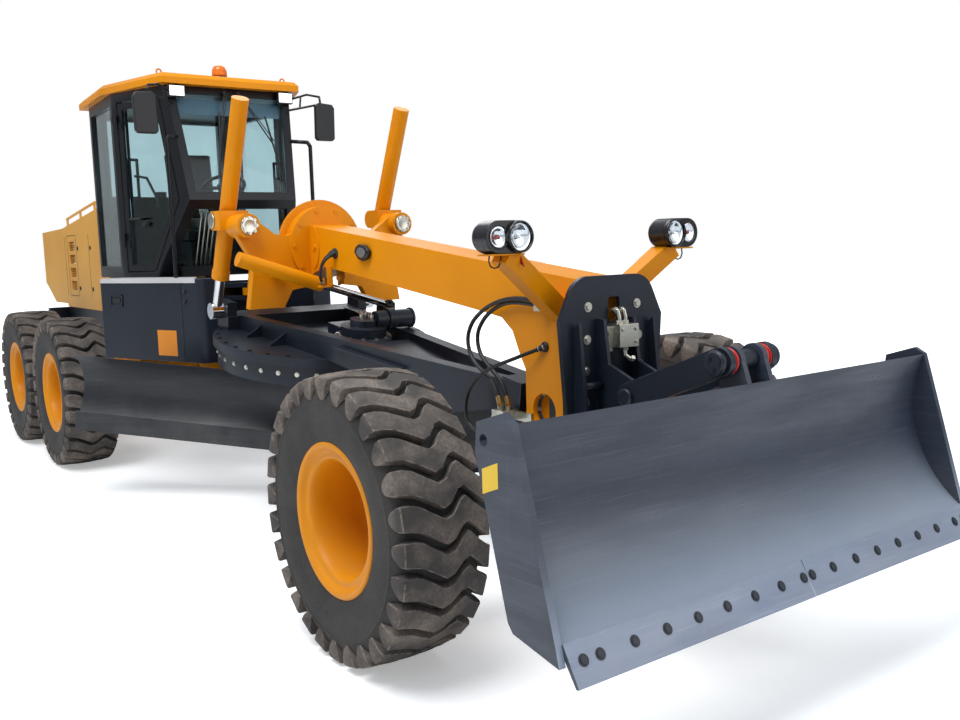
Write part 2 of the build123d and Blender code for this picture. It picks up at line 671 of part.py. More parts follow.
def drawbar_leg():
    """Left leg of the drawbar, deeper towards the ball."""
    rise = DRAWBAR_LEG_FRONT_TOP_K - CROSSBAR_TOP_K
    stations = (  # i, bottom k
        (CROSSBAR_I, 0),
        (PLATE_RADIUS - 60, 0),
        (DRAWBAR_LEG_FRONT_I - 520, -60),
        (DRAWBAR_LEG_FRONT_I - 150, DRAWBAR_NOSE_K),
        (DRAWBAR_LEG_FRONT_I, DRAWBAR_NOSE_K),
    )
    sections = []
    for i, bottom in stations:
        share = (i - CROSSBAR_I) / (DRAWBAR_LEG_FRONT_I - CROSSBAR_I)
        j = DRAWBAR_LEG_REAR_J + (DRAWBAR_LEG_FRONT_J - DRAWBAR_LEG_REAR_J) * share
        sections.append(leg_section(i, j, bottom, CROSSBAR_TOP_K + rise * share))
    return fused([loft([a, b], ruled=True) for a, b in zip(sections, sections[1:])])


def plate_gusset(i, j):
    """Web from the left leg's side down to the circle's plate."""
    outline = [(j, 0), (j, 14), (j - 120, CROSSBAR_TOP_K - 6), (j - 150, CROSSBAR_TOP_K - 6), (j - 150, 0)]
    return front_prism(outline, i - 6, i + 6)


def drawbar():
    """Drawbar: two legs from the ball to the crossbar, welded to the circle's top plate."""
    plate = bar((0, 0, -PLATE_THICKNESS), (0, 0, 0), PLATE_RADIUS)
    half = CROSSBAR_WIDTH / 2
    crossbar = block(CROSSBAR_I - half, CROSSBAR_I + half, -CROSSBAR_HALF, CROSSBAR_HALF, 0, CROSSBAR_TOP_K)
    ends = block(CROSSBAR_I - 90, CROSSBAR_I + 90, CROSSBAR_HALF - 70, CROSSBAR_HALF, CROSSBAR_TOP_K - 40, 200)
    tongue_half = DRAWBAR_LEG_FRONT_J + DRAWBAR_LEG_WIDTH / 2
    tongue = block(DRAWBAR_LEG_FRONT_I - 150, DRAWBAR_LEG_FRONT_I + 20, -tongue_half, tongue_half,
                   DRAWBAR_NOSE_K, DRAWBAR_LEG_FRONT_TOP_K)
    neck = bar((DRAWBAR_LEG_FRONT_I, 0, BALL_K - 20), (BALL_I, 0, BALL_K), BALL_NECK_RADIUS)
    ball = Pos(BALL_I, 0, BALL_K) * Sphere(BALL_RADIUS)
    cover = plan_prism([(840, -360), (840, 360), (1500, 262), (1500, -262)], CROSSBAR_TOP_K + 8, CROSSBAR_TOP_K + 20)
    pieces = [plate, crossbar, tongue, neck, ball, cover, shift_bracket()] + both_sides(ends)
    for piece in [drawbar_leg()] + [plate_gusset(i, j) for i, j in ((-92, 548), (216, 510))]:
        pieces += both_sides(piece)
    return circle_place() * fused(pieces)


def shift_bracket():
    """Upright on the left leg under the side cylinder's eye."""
    place = circle_place().inverse() * shift_eye_place()
    eye_k = place.position.Z
    face = -SHIFT_EYE_HALF - SHIFT_EYE_GAP
    plate = place * block(face - SHIFT_PLATE, face, -75, 60, 105 - eye_k, 8)
    foot = place * block(face - 60, 10, -75, 75, 90 - eye_k, 130 - eye_k)
    return plate + foot


def circle_drive():
    """Drive housing for the circle: a round gear case with a motor beside it."""
    case = bar((DRIVE_I, 0, 0), (DRIVE_I, 0, DRIVE_HEIGHT * 0.45), DRIVE_RADIUS)
    head = bar((DRIVE_I, 0, DRIVE_HEIGHT * 0.45), (DRIVE_I, 0, DRIVE_HEIGHT * 0.8), DRIVE_RADIUS * 0.83)
    cap = bar((DRIVE_I, 0, DRIVE_HEIGHT * 0.8), (DRIVE_I, 0, DRIVE_HEIGHT), DRIVE_RADIUS * 0.5)
    worm = block(DRIVE_I - 330, DRIVE_I - 150, -100, 80, 0, 150)
    motor = bar((MOTOR_I, 60, MOTOR_K), (MOTOR_I, MOTOR_REACH, MOTOR_K), MOTOR_RADIUS)
    return circle_place() * fused([case, head, cap, worm, motor])


def circle_ring():
    """Turning ring under the plate with two arms that carry the blade's guides."""
    top = -PLATE_THICKNESS - 1
    ring = bar((0, 0, RING_BOTTOM_K), (0, 0, top), RING_RADIUS, RING_INNER_RADIUS)
    deck = bar((0, 0, RING_BOTTOM_K), (0, 0, RING_BOTTOM_K + 30), RING_RADIUS - 10)
    arms = [blade_arm(u) for u in (-BLADE_ARM_U, BLADE_ARM_U)]
    ram = shift_ram_tube()
    return circle_place() * (fused([ring, deck] + [blade_place() * piece for piece in arms + [ram]]))


def blade_place():
    """Turn from the circle's axes to the blade's: X along the blade, Y away from its hollow face."""
    return Location((0, 0, 0), (0, 0, BLADE_ANGLE))


def blade_profile(points, u_low, u_high):
    """A profile of (n, k) points pulled along the blade."""
    flipped = [(-n, k) for n, k in points]
    return front_prism(flipped, u_low, u_high)


def blade_arm(u):
    """Arm under the circle with a C guide round each rail of the blade."""
    low, high = u - BLADE_ARM_WIDTH / 2, u + BLADE_ARM_WIDTH / 2
    inner_n = RAIL_N - RAIL_SIZE / 2 - RUNNING_GAP
    arm = blade_profile([
        (-560, RING_BOTTOM_K + 10), (-60, RING_BOTTOM_K + 10), (inner_n + 40, -360), (inner_n, -400),
        (inner_n, -890), (inner_n - 90, -890), (inner_n - 120, -600),
    ], low, high)
    pieces = [arm]
    for k in (UPPER_RAIL_K, LOWER_RAIL_K):
        pieces.append(rail_guide(k, u))
    return fused(pieces)


def rail_guide(k, u):
    """C-shaped guide open towards the blade."""
    half = RAIL_SIZE / 2 + 1
    n_back = RAIL_N - RAIL_SIZE / 2 - RUNNING_GAP
    n_front = RAIL_N + RAIL_SIZE / 2 - 6
    outline = [
        (n_back - 2, k - half - GUIDE_WALL), (n_front, k - half - GUIDE_WALL), (n_front, k - half),
        (n_back, k - half), (n_back, k + half), (n_front, k + half), (n_front, k + half + GUIDE_WALL),
        (n_back - 2, k + half + GUIDE_WALL),
    ]
    return blade_profile(outline, u - 110, u + 110)


def shift_ram_tube():
    """Barrel of the blade's side shift cylinder, fixed to the arms."""
    n = RAIL_N
    cap = bar((SHIFT_RAM_U0, -n, SHIFT_RAM_K), (SHIFT_RAM_U0 + 25, -n, SHIFT_RAM_K), SHIFT_RAM_RADIUS)
    barrel = bar((SHIFT_RAM_U0 + 25, -n, SHIFT_RAM_K), (SHIFT_RAM_U1 - 40, -n, SHIFT_RAM_K), SHIFT_RAM_RADIUS,
                 SHIFT_RAM_BORE)
    gland = bar((SHIFT_RAM_U1 - 40, -n, SHIFT_RAM_K), (SHIFT_RAM_U1, -n, SHIFT_RAM_K), SHIFT_RAM_RADIUS,
                SHIFT_RAM_ROD + PIN_FIT)
    pieces = [cap, barrel, gland]
    for u in (-BLADE_ARM_U, BLADE_ARM_U):
        clamp = block(u - 25, u + 25, -n, -n + 45, SHIFT_RAM_K - 50, SHIFT_RAM_K + 50)
        pieces.append(clamp - bar((u - 30, -n, SHIFT_RAM_K), (u + 30, -n, SHIFT_RAM_K), SHIFT_RAM_BORE + 5))
    return fused(pieces)


def hollow_arc(low, high, sag, offset):
    """Three points of the arc between two (a, b) points, bulging by sag to the left and moved by offset."""
    chord = Vector(high[0] - low[0], high[1] - low[1])
    back = Vector(-chord.Y, chord.X).normalized()
    middle = Vector((low[0] + high[0]) / 2, (low[1] + high[1]) / 2) + back * (sag + offset)
    return [(low[0] + back.X * offset, low[1] + back.Y * offset), (middle.X, middle.Y),
            (high[0] + back.X * offset, high[1] + back.Y * offset)]


def curved_board(low, high, sag, thickness):
    """Face of a curved board between two (a, b) points, its hollow side through them."""
    inner = hollow_arc(low, high, sag, 0)
    outer = hollow_arc(low, high, sag, thickness)
    wires = [
        ThreePointArc(*inner), Line(inner[2], outer[2]), ThreePointArc(outer[2], outer[1], outer[0]),
        Line(outer[0], inner[0]),
    ]
    return make_face(wires)


def moldboard():
    """Curved blade with two slide rails and the side shift cylinder's rod."""
    edge_top_k = BLADE_EDGE_K + EDGE_HEIGHT * 0.5
    low = (BLADE_EDGE_N, edge_top_k)
    high = (BLADE_TOP_N, BLADE_TOP_K)
    half = BLADE_LENGTH / 2
    face = Plane(origin=(-half, 0, 0), x_dir=(0, -1, 0), z_dir=(-1, 0, 0)) * curved_board(
        low, high, BLADE_SAG, BLADE_THICKNESS)
    board = extrude(face, amount=BLADE_LENGTH, dir=(1, 0, 0))
    n_out = RAIL_N + RAIL_SIZE / 2
    rail_reach = half - 250
    pieces = [board]
    for k in (UPPER_RAIL_K, LOWER_RAIL_K):
        rail = blade_profile([(RAIL_N - RAIL_SIZE / 2, k - RAIL_SIZE / 2), (n_out, k - RAIL_SIZE / 2),
                              (n_out, k + RAIL_SIZE / 2), (RAIL_N - RAIL_SIZE / 2, k + RAIL_SIZE / 2)],
                             -rail_reach, rail_reach)
        pieces.append(rail)
        for u in (-rail_reach, -rail_reach / 3 * 1.9, rail_reach / 3 * 1.9 - 40, rail_reach - 40):
            web = blade_profile([(n_out - 2, k - 25), (10, k - 25), (10, k + 25), (n_out - 2, k + 25)], u, u + 40)
            pieces.append(web - hollow_side(low, high))
    rod = bar((SHIFT_RAM_U0 + 700, -RAIL_N, SHIFT_RAM_K), (SHIFT_RAM_LUG_U, -RAIL_N, SHIFT_RAM_K), SHIFT_RAM_ROD)
    lug = blade_profile([(RAIL_N - 45, SHIFT_RAM_K - 45), (-80, SHIFT_RAM_K - 45), (-80, SHIFT_RAM_K + 45),
                         (RAIL_N - 45, SHIFT_RAM_K + 45)], SHIFT_RAM_LUG_U - 10, SHIFT_RAM_LUG_U + 30)
    pieces += [rod, lug - hollow_side(low, high)]
    return circle_place() * blade_place() * fused(pieces)


def hollow_side(low, high):
    """Space in front of the blade's middle surface, used to trim what is welded to its back."""
    arc = hollow_arc(low, high, BLADE_SAG, BLADE_THICKNESS / 2)
    wires = [ThreePointArc(*arc), Line(arc[2], (arc[2][0] + 300, arc[2][1])),
             Line((arc[2][0] + 300, arc[2][1]), (arc[0][0] + 300, arc[0][1])),
             Line((arc[0][0] + 300, arc[0][1]), arc[0])]
    half = BLADE_LENGTH / 2
    face = Plane(origin=(-half, 0, 0), x_dir=(0, -1, 0), z_dir=(-1, 0, 0)) * make_face(wires)
    return extrude(face, amount=BLADE_LENGTH, dir=(1, 0, 0))


def cutting_edge():
    """Two bolted wear plates along the blade's lower edge."""
    half = BLADE_LENGTH / 2
    lean = 9.0
    plates = []
    for u_low, u_high in ((-half, -2.0), (2.0, half)):
        plates.append(blade_profile([
            (BLADE_EDGE_N + FIT, BLADE_EDGE_K), (BLADE_EDGE_N + FIT + EDGE_THICKNESS, BLADE_EDGE_K),
            (BLADE_EDGE_N + FIT + EDGE_THICKNESS - lean, BLADE_EDGE_K + EDGE_HEIGHT),
            (BLADE_EDGE_N + FIT, BLADE_EDGE_K + EDGE_HEIGHT)], u_low, u_high))
    return circle_place() * blade_place() * apart(plates)


# ---------------------------------------------------------------- front axle

def front_axle():
    """Axle beam between the leaning yokes, forked at each end."""
    beam = front_prism([(-600, 530), (600, 530), (600, 670), (150, 745), (-150, 745), (-600, 670)], -85, 85)
    pin_room = bar((-90, 0, AXLE_PIN_Z), (90, 0, AXLE_PIN_Z), AXLE_PIN_RADIUS + PIN_FIT)
    pieces = [beam - pin_room]
    for x in (-115, 75):
        lug = block(x, x + 40, 540, LEAN_PIN_Y, LEAN_PIN_Z - 62, LEAN_PIN_Z + 62)
        eye = bar((x, LEAN_PIN_Y, LEAN_PIN_Z), (x + 40, LEAN_PIN_Y, LEAN_PIN_Z), 62)
        pieces += both_sides(lug + eye)
    pin = bar((-125, LEAN_PIN_Y, LEAN_PIN_Z), (125, LEAN_PIN_Y, LEAN_PIN_Z), LEAN_PIN_RADIUS)
    return fused(pieces + both_sides(pin))


def lean_yoke():
    """Left yoke: it leans on the axle's pin and holds the knuckle between two arms."""
    half_x = 70.0
    post = front_prism([
        (LEAN_PIN_Y - 35, LEAN_PIN_Z - 62), (LEAN_PIN_Y + 70, LEAN_PIN_Z - 62), (LEAN_PIN_Y + 70, LEAN_BAR_Z + 10),
        (LEAN_PIN_Y + 40, LEAN_BAR_Z + 45), (LEAN_PIN_Y - 35, LEAN_BAR_Z + 45), (LEAN_PIN_Y - 35, 700),
        (LEAN_PIN_Y - 62, LEAN_PIN_Z + 40), (LEAN_PIN_Y - 62, LEAN_PIN_Z - 30),
    ], -half_x, half_x)
    slot = block(-LEAN_FORK_HALF, LEAN_FORK_HALF, LEAN_PIN_Y - 100, LEAN_PIN_Y + 100, LEAN_BAR_Z - 60, LEAN_BAR_Z + 60)
    pieces = [post - slot]
    gap = KNUCKLE_HALF_HEIGHT + 2
    for z in (WHEEL_Z + gap, WHEEL_Z - gap - KINGPIN_ARM_HEIGHT):
        arm = block(-KINGPIN_ARM_RADIUS, KINGPIN_ARM_RADIUS, LEAN_PIN_Y + 60, KINGPIN_Y, z, z + KINGPIN_ARM_HEIGHT)
        eye = bar((0, KINGPIN_Y, z), (0, KINGPIN_Y, z + KINGPIN_ARM_HEIGHT), KINGPIN_ARM_RADIUS)
        pieces += [arm, eye]
    kingpin = bar((0, KINGPIN_Y, WHEEL_Z - gap - 10), (0, KINGPIN_Y, WHEEL_Z + gap + 10), KINGPIN_RADIUS)
    bar_pin = bar((-half_x, LEAN_PIN_Y, LEAN_BAR_Z), (half_x, LEAN_PIN_Y, LEAN_BAR_Z), 22)
    bore = bar((-half_x - 1, LEAN_PIN_Y, LEAN_PIN_Z), (half_x + 1, LEAN_PIN_Y, LEAN_PIN_Z), LEAN_PIN_RADIUS + PIN_FIT)
    return fused(pieces + [kingpin, bar_pin]) - bore


def knuckle():
    """Left steering knuckle: a block on the kingpin with the wheel's spindle and a steering arm."""
    body = bar((0, KINGPIN_Y, WHEEL_Z - KNUCKLE_HALF_HEIGHT), (0, KINGPIN_Y, WHEEL_Z + KNUCKLE_HALF_HEIGHT), 54)
    spindle = cross_bar(0, WHEEL_Z, 60, KINGPIN_Y, HUB_FACE_Y - FIT)
    flange = cross_bar(0, WHEEL_Z, HUB_RADIUS * 0.75, HUB_FACE_Y - 22, HUB_FACE_Y - FIT)
    bore = bar((0, KINGPIN_Y, WHEEL_Z - 200), (0, KINGPIN_Y, WHEEL_Z + 200), KINGPIN_RADIUS + PIN_FIT)
    return body + spindle + flange - bore


def lean_bar():
    """Bar that ties the two yokes' heads together."""
    reach = LEAN_PIN_Y
    eye_half = LEAN_FORK_HALF - FIT
    rod = cross_bar(0, LEAN_BAR_Z, 26, -reach + 50, reach - 50)
    pieces = [rod]
    for side in (-1, 1):
        eye = bar((-eye_half, side * reach, LEAN_BAR_Z), (eye_half, side * reach, LEAN_BAR_Z), 44)
        shank = block(-26, 26, *sorted((side * (reach - 80), side * reach)), LEAN_BAR_Z - 26, LEAN_BAR_Z + 26)
        bore = bar((-eye_half - 1, side * reach, LEAN_BAR_Z), (eye_half + 1, side * reach, LEAN_BAR_Z), 22 + 14)
        pieces.append((eye + shank) - bore)
    return fused(pieces)


# ---------------------------------------------------------------- front dozer

def link_offset():
    """Shift from the linkage's rear pins to its front pins."""
    return LINK_FRONT[0] - LINK_REAR[0], LINK_FRONT[1] - LINK_REAR[1]


def arm_front():
    """The lower arms' front pin."""
    dx, dz = link_offset()
    return ARM_REAR[0] + dx, ARM_REAR[1] + dz


def dozer_mount():
    """Bolted bracket on the leg: face plate, ribs and pivot plates."""
    corner = 130.0
    outline = Polygon((-235, MOUNT_TOP_Z), (235, MOUNT_TOP_Z), (333, 1540), (300, 1100), (240, MOUNT_BOTTOM_Z),
                      (-240, MOUNT_BOTTOM_Z), (-300, 1100), (-333, 1540), align=None)
    outline = fillet(outline.vertices().group_by(Axis.Y)[-1], corner)
    slot = Pos(8, 1578) * RectangleRounded(78, 120, 20)
    plate = extrude(Plane.YZ.offset(MOUNT_FACE_X - MOUNT_PLATE) * (outline - slot), amount=MOUNT_PLATE, dir=(1, 0, 0))
    back_x = MOUNT_FACE_X - MOUNT_PLATE
    cheek = block(LEG_FRONT_X, back_x + 1, 96, BEAM_HALF_WIDTH, MOUNT_BOTTOM_Z, 1325)
    head = block(BEAM_FRONT_X, back_x + 1, -BEAM_HALF_WIDTH, BEAM_HALF_WIDTH, 1640, 1700)
    outer_rib = side_prism([(MOUNT_FACE_X - 1, 1500), (560, 1530), (600, 1100), (640, 700), (MOUNT_FACE_X - 1, 620)],
                           234, 252)
    middle_rib = side_prism([
        (MOUNT_FACE_X - 1, 1540), (572, 1536), (600, 1330), (LINK_REAR[0] + 40, LINK_REAR[1] + 50),
        (LINK_REAR[0] + 62, LINK_REAR[1]), (LINK_REAR[0] + 20, LINK_REAR[1] - 60), (MOUNT_FACE_X - 1, 960)], 88, 108)
    link_pin = cross_bar(LINK_REAR[0], LINK_REAR[1], LINK_PIN_RADIUS, -LINK_INNER_Y - LINK_PLATE - 14,
                         LINK_INNER_Y + LINK_PLATE + 14)
    pieces = [plate, head, link_pin]
    for piece in (cheek, outer_rib, middle_rib):
        pieces += both_sides(piece)
    for y in (ARM_Y - ARM_WIDTH / 2 - 27, ARM_Y + ARM_WIDTH / 2 + 5):
        lug = side_prism([(MOUNT_FACE_X - 1, 760), (ARM_REAR[0], ARM_REAR[1] + 64), (ARM_REAR[0] + 62, ARM_REAR[1]),
                          (ARM_REAR[0], ARM_REAR[1] - 64), (MOUNT_FACE_X - 1, 566)], y, y + 22)
        pieces += both_sides(lug)
    pin = cross_bar(ARM_REAR[0], ARM_REAR[1], LINK_PIN_RADIUS, ARM_Y - ARM_WIDTH / 2 - 36, ARM_Y + ARM_WIDTH / 2 + 36)
    return fused(pieces + both_sides(pin))


def dozer_link():
    """Upper link: two plates joined by a tube, with the front pin."""
    y0, y1 = LINK_INNER_Y, LINK_INNER_Y + LINK_PLATE
    plate = strap(LINK_REAR, LINK_FRONT, 2 * LINK_EYE_RADIUS, y0, y1)
    bore = cross_bar(LINK_REAR[0], LINK_REAR[1], LINK_PIN_RADIUS + PIN_FIT, y0 - 1, y1 + 1)
    x, z = (LINK_REAR[0] * 0.4 + LINK_FRONT[0] * 0.6), (LINK_REAR[1] * 0.4 + LINK_FRONT[1] * 0.6)
    tie = cross_bar(x, z, 34, -y0 - 2, y0 + 2)
    pin = cross_bar(LINK_FRONT[0], LINK_FRONT[1], 40, -y1 - 22, y1 + 22)
    return fused(both_sides(plate - bore) + [tie, pin])


def dozer_arms():
    """Lower push arms joined by a cross tube."""
    front = arm_front()
    y0, y1 = ARM_Y - ARM_WIDTH / 2, ARM_Y + ARM_WIDTH / 2
    arm = strap(ARM_REAR, front, 2 * ARM_EYE_RADIUS, y0, y1)
    for x, z in (ARM_REAR, front):
        arm = arm - cross_bar(x, z, LINK_PIN_RADIUS + PIN_FIT, y0 - 1, y1 + 1)
    x, z = (ARM_REAR[0] + front[0]) / 2, (ARM_REAR[1] + front[1]) / 2
    tube = cross_bar(x, z, 52, -y0 - 2, y0 + 2)
    return fused(both_sides(arm) + [tube])


def dozer_back(offset):
    """Three points of the dozer board's curve, moved back by offset."""
    return hollow_arc(DOZER_EDGE_TOP, DOZER_TOP, DOZER_SAG, offset)


def dozer_front_room():
    """Space ahead of the middle of the dozer's board."""
    arc = dozer_back(DOZER_BOARD / 2)
    wires = [ThreePointArc(*arc), Line(arc[2], (arc[2][0] + 400, arc[2][1] + 100)),
             Line((arc[2][0] + 400, arc[2][1] + 100), (arc[0][0] + 400, arc[0][1] - 100)),
             Line((arc[0][0] + 400, arc[0][1] - 100), arc[0])]
    return extrude(Plane.XZ.offset(-DOZER_HALF_WIDTH) * make_face(wires), amount=2 * DOZER_HALF_WIDTH, dir=(0, -1, 0))


def dozer_blade():
    """Front blade: curved board, wear plate, end plates, back beam and pivot lugs."""
    width = DOZER_HALF_WIDTH
    board = extrude(Plane.XZ.offset(-width) * curved_board(DOZER_EDGE_TOP, DOZER_TOP, DOZER_SAG, DOZER_BOARD),
                    amount=2 * width, dir=(0, -1, 0))
    tip_x = FRONT_REACH
    edge = side_prism([(DOZER_EDGE_TOP[0] - 12, DOZER_EDGE_TOP[1] - 4), (DOZER_EDGE_TOP[0] + 6, DOZER_EDGE_TOP[1] + 8),
                       (tip_x, DOZER_TIP_Z + 4), (tip_x - 14, DOZER_TIP_Z)], -width, width)
    end_outline = [
        (DOZER_TOP[0], DOZER_TOP[1] + 2), (1320, 1339), (1173, 1292), (1161, 1181), (1323, 610), (1350, 578),
        (1590, 533), (DOZER_EDGE_TOP[0] + 4, DOZER_EDGE_TOP[1] + 2)]
    hole = cross_bar(1212, 1232, 22, width - 1, width + DOZER_END_PLATE + 1)
    end = side_prism(end_outline, width - 1, width + DOZER_END_PLATE) - hole
    trim = dozer_front_room()
    back_beam = side_prism([(1236, 1120), (1236, 1000), (1380, 1000), (1380, 1120)], -width + 1, width - 1) - trim
    low_beam = side_prism([(1300, 745), (1380, 640), (1520, 640), (1450, 745)], -width + 1, width - 1) - trim
    pieces = [board, edge, back_beam, low_beam] + both_sides(end)
    x, z = LINK_FRONT
    for y in (58,):
        lug = side_prism([(x - 58, z), (x, z + 60), (x + 62, z), (1420, 1200), (1300, 1060), (1240, 1110)], y, y + 27)
        lug = lug + cross_bar(x, z, LINK_EYE_RADIUS, y, y + 27)
        lug = lug - trim - cross_bar(x, z, 40 + PIN_FIT, y - 1, y + 28)
        pieces += both_sides(lug)
    x, z = arm_front()
    for y in (ARM_Y - ARM_WIDTH / 2 - 27, ARM_Y + ARM_WIDTH / 2 + 5):
        lug = side_prism([(x - 64, z), (x, z + 64), (1420, z + 150), (1420, z - 140), (x, z - 64)], y, y + 22)
        pieces += both_sides(lug - trim)
    pin = cross_bar(x, z, LINK_PIN_RADIUS, ARM_Y - ARM_WIDTH / 2 - 36, ARM_Y + ARM_WIDTH / 2 + 36)
    return fused(pieces + both_sides(pin))


def valve_block():
    """Hydraulic block on the mount's face."""
    return fused([block(MOUNT_FACE_X, MOUNT_FACE_X + 90, -40, 84, 1400, 1510),
                  block(MOUNT_FACE_X, MOUNT_FACE_X + 40, -84, -40, 1380, 1500)])


def hose(route, radius, fittings):
    """A hose of straight runs joined by arcs as large as the runs allow, cut off flush at its fittings."""
    points = [Vector(*point) for point in route]
    points[0] += (points[0] - points[1]).normalized() * radius
    points[-1] += (points[-1] - points[-2]).normalized() * radius
    radii = []
    for before, corner, after in zip(points, points[1:], points[2:]):
        turn = (corner - before).get_angle(after - corner)
        radii.append(0.45 * min((corner - before).length, (after - corner).length) / tan(radians(turn / 2)))
    print("hose arcs from", round(min(radii)), "mm")
    path = FilletPolyline(*points, radius=radii)
    tube = sweep(Plane(origin=points[0], z_dir=points[1] - points[0]) * Circle(radius), path=path)
    return tube - fittings


def hose_blocks():
    """Fittings on the leg's right side that the hoses run between."""
    side = -BEAM_HALF_WIDTH - FIT
    upper = UPPER_HOSE[0]
    lower = UPPER_HOSE[-1]
    reach = abs(lower[1]) + 28
    top = block(upper[0], upper[0] + 62, -abs(upper[1]) - 22, side, LOWER_HOSE[0][2] - 22, upper[2] + 22)
    plate = block(lower[0] - 46, LEG_REAR_X + 60, side - 18, side, lower[2] - 78, lower[2] - 30)
    bank = block(lower[0] - 40, LOWER_HOSE[-1][0] + 24, -reach, side, lower[2] - 78, lower[2] - 22)
    collars = [bar((x, y, lower[2] - 23), (x, y, z), HOSE_RADIUS + 5) for x, y, z in (UPPER_HOSE[-1], LOWER_HOSE[-1])]
    start = Vector(*LEG_HOSE[0])
    away = (Vector(*LEG_HOSE[1]) - start).normalized()
    root = start - away * 34
    flange = bar((root.X, side - 6, root.Z), (root.X, side, root.Z), LEG_HOSE_RADIUS + 14)
    neck = bar(tuple(root), tuple(start), LEG_HOSE_RADIUS + 5)
    beyond = block(root.X - 80, root.X + 80, side, 0, root.Z - 80, root.Z + 80)
    return apart([top, fused([plate, bank] + collars), (flange + neck) - beyond])


# ---------------------------------------------------------------- rear frame and bodywork

def rear_frame():
    """Two rails with the articulation hitch in front and cross members behind."""
    rail = block(RAIL_REAR_X, -3900, RAIL_INNER_Y, RAIL_OUTER_Y, RAIL_BOTTOM_Z, RAIL_TOP_Z)
    wall = block(-3960, -3900, -RAIL_OUTER_Y, RAIL_OUTER_Y, RAIL_BOTTOM_Z - 30, CAB_FLOOR_Z - 40)
    pieces = [wall] + both_sides(rail)
    for x in (-4700, -6219, RAIL_REAR_X):
        pieces.append(block(x, x + 100, -RAIL_INNER_Y - 1, RAIL_INNER_Y + 1, RAIL_BOTTOM_Z + 40, RAIL_TOP_Z - 40))
    for x in (-5650, -4500):
        pieces += both_sides(block(x, x + 120, RAIL_INNER_Y, RAIL_OUTER_Y, RAIL_TOP_Z - 1, CAB_FLOOR_Z))
    for z in (UPPER_HITCH_Z, LOWER_HITCH_Z):
        pieces += hitch_plates(z)
    bumper = block(RAIL_REAR_X - BUMPER_DEPTH, RAIL_REAR_X + 1, -BUMPER_HALF, BUMPER_HALF, BUMPER_BOTTOM_Z, BUMPER_TOP_Z)
    return fused(pieces + [bumper])


def hitch_plates(z):
    """The rear frame's two plates round one hitch lug, with their pin."""
    clear = HITCH_LUG_THICKNESS / 2 + RUNNING_GAP
    pieces = []
    for low in (z + clear, z - clear - HITCH_PLATE):
        plate = plan_prism([(-3901, -240), (-3901, 240), (PIVOT_X, 88), (PIVOT_X, -88)], low, low + HITCH_PLATE)
        pieces.append(plate + bar((PIVOT_X, 0, low), (PIVOT_X, 0, low + HITCH_PLATE), 88))
    pieces.append(bar((PIVOT_X, 0, z - clear - HITCH_PLATE - 8), (PIVOT_X, 0, z + clear + HITCH_PLATE + 8),
                      PIVOT_PIN_RADIUS))
    return pieces


def side_tank():
    """Left tank: its outer face turns in towards the front, and its top is a step."""
    tank = plan_prism([(TANK_REAR_X, RAIL_OUTER_Y), (TANK_REAR_X, TANK_REAR_Y), (TANK_FRONT_X, TANK_FRONT_Y),
                       (TANK_FRONT_X, RAIL_OUTER_Y)], TANK_BOTTOM_Z, DECK_Z)
    corner = tank.edges().filter_by(Axis.Z).sort_by(Axis.X)[-2:].sort_by(Axis.Y)[-1]
    return fillet(corner, 70)


def hood():
    """Engine hood with louvre windows and a hand rail along each side of its top."""
    outline = [(HOOD_FRONT_X, HOOD_BOTTOM_Z), (HOOD_FRONT_X, HOOD_FRONT_Z), (HOOD_CREST_X, HOOD_CREST_Z),
               (HOOD_REAR_X, HOOD_REAR_Z), (HOOD_REAR_X, HOOD_BOTTOM_Z)]
    room_front = HOOD_FRONT_X - HOOD_WALL
    room = [(room_front, HOOD_BOTTOM_Z - 1), (room_front, HOOD_FRONT_Z - HOOD_WALL),
            (HOOD_CREST_X, HOOD_CREST_Z - HOOD_WALL), (HOOD_REAR_X - 1, HOOD_REAR_Z - HOOD_WALL),
            (HOOD_REAR_X - 1, HOOD_BOTTOM_Z - 1)]
    half = HOOD_HALF_WIDTH
    inner = half - HOOD_WALL
    shell = side_prism(outline, -half, half) - side_prism(room, -inner, inner)
    shell = shell - block(room_front - 1, HOOD_FRONT_X + 1, -inner, inner, HOOD_BOTTOM_Z - 1, RAIL_TOP_Z + FIT)
    for z in LOUVRE_ROWS:
        shell = shell - block(LOUVRE_REAR_X, LOUVRE_FRONT_X, -half - 1, half + 1, z, z + LOUVRE_HEIGHT)
    slope = (HOOD_REAR_Z - HOOD_CREST_Z) / (HOOD_REAR_X - HOOD_CREST_X)

    def rail_point(x, rise):
        return x, inner, HOOD_REAR_Z + slope * (x - HOOD_REAR_X) + rise

    rail = bar(rail_point(HAND_RAIL_REAR_X, HAND_RAIL_RISE), rail_point(HAND_RAIL_FRONT_X, HAND_RAIL_RISE), 14)
    pieces = [shell] + both_sides(rail)
    for x in (HAND_RAIL_REAR_X + 14, (HAND_RAIL_REAR_X + HAND_RAIL_FRONT_X) / 2, HAND_RAIL_FRONT_X - 14):
        pieces += both_sides(bar(rail_point(x, -10), rail_point(x, HAND_RAIL_RISE), 12))
    return fused(pieces)


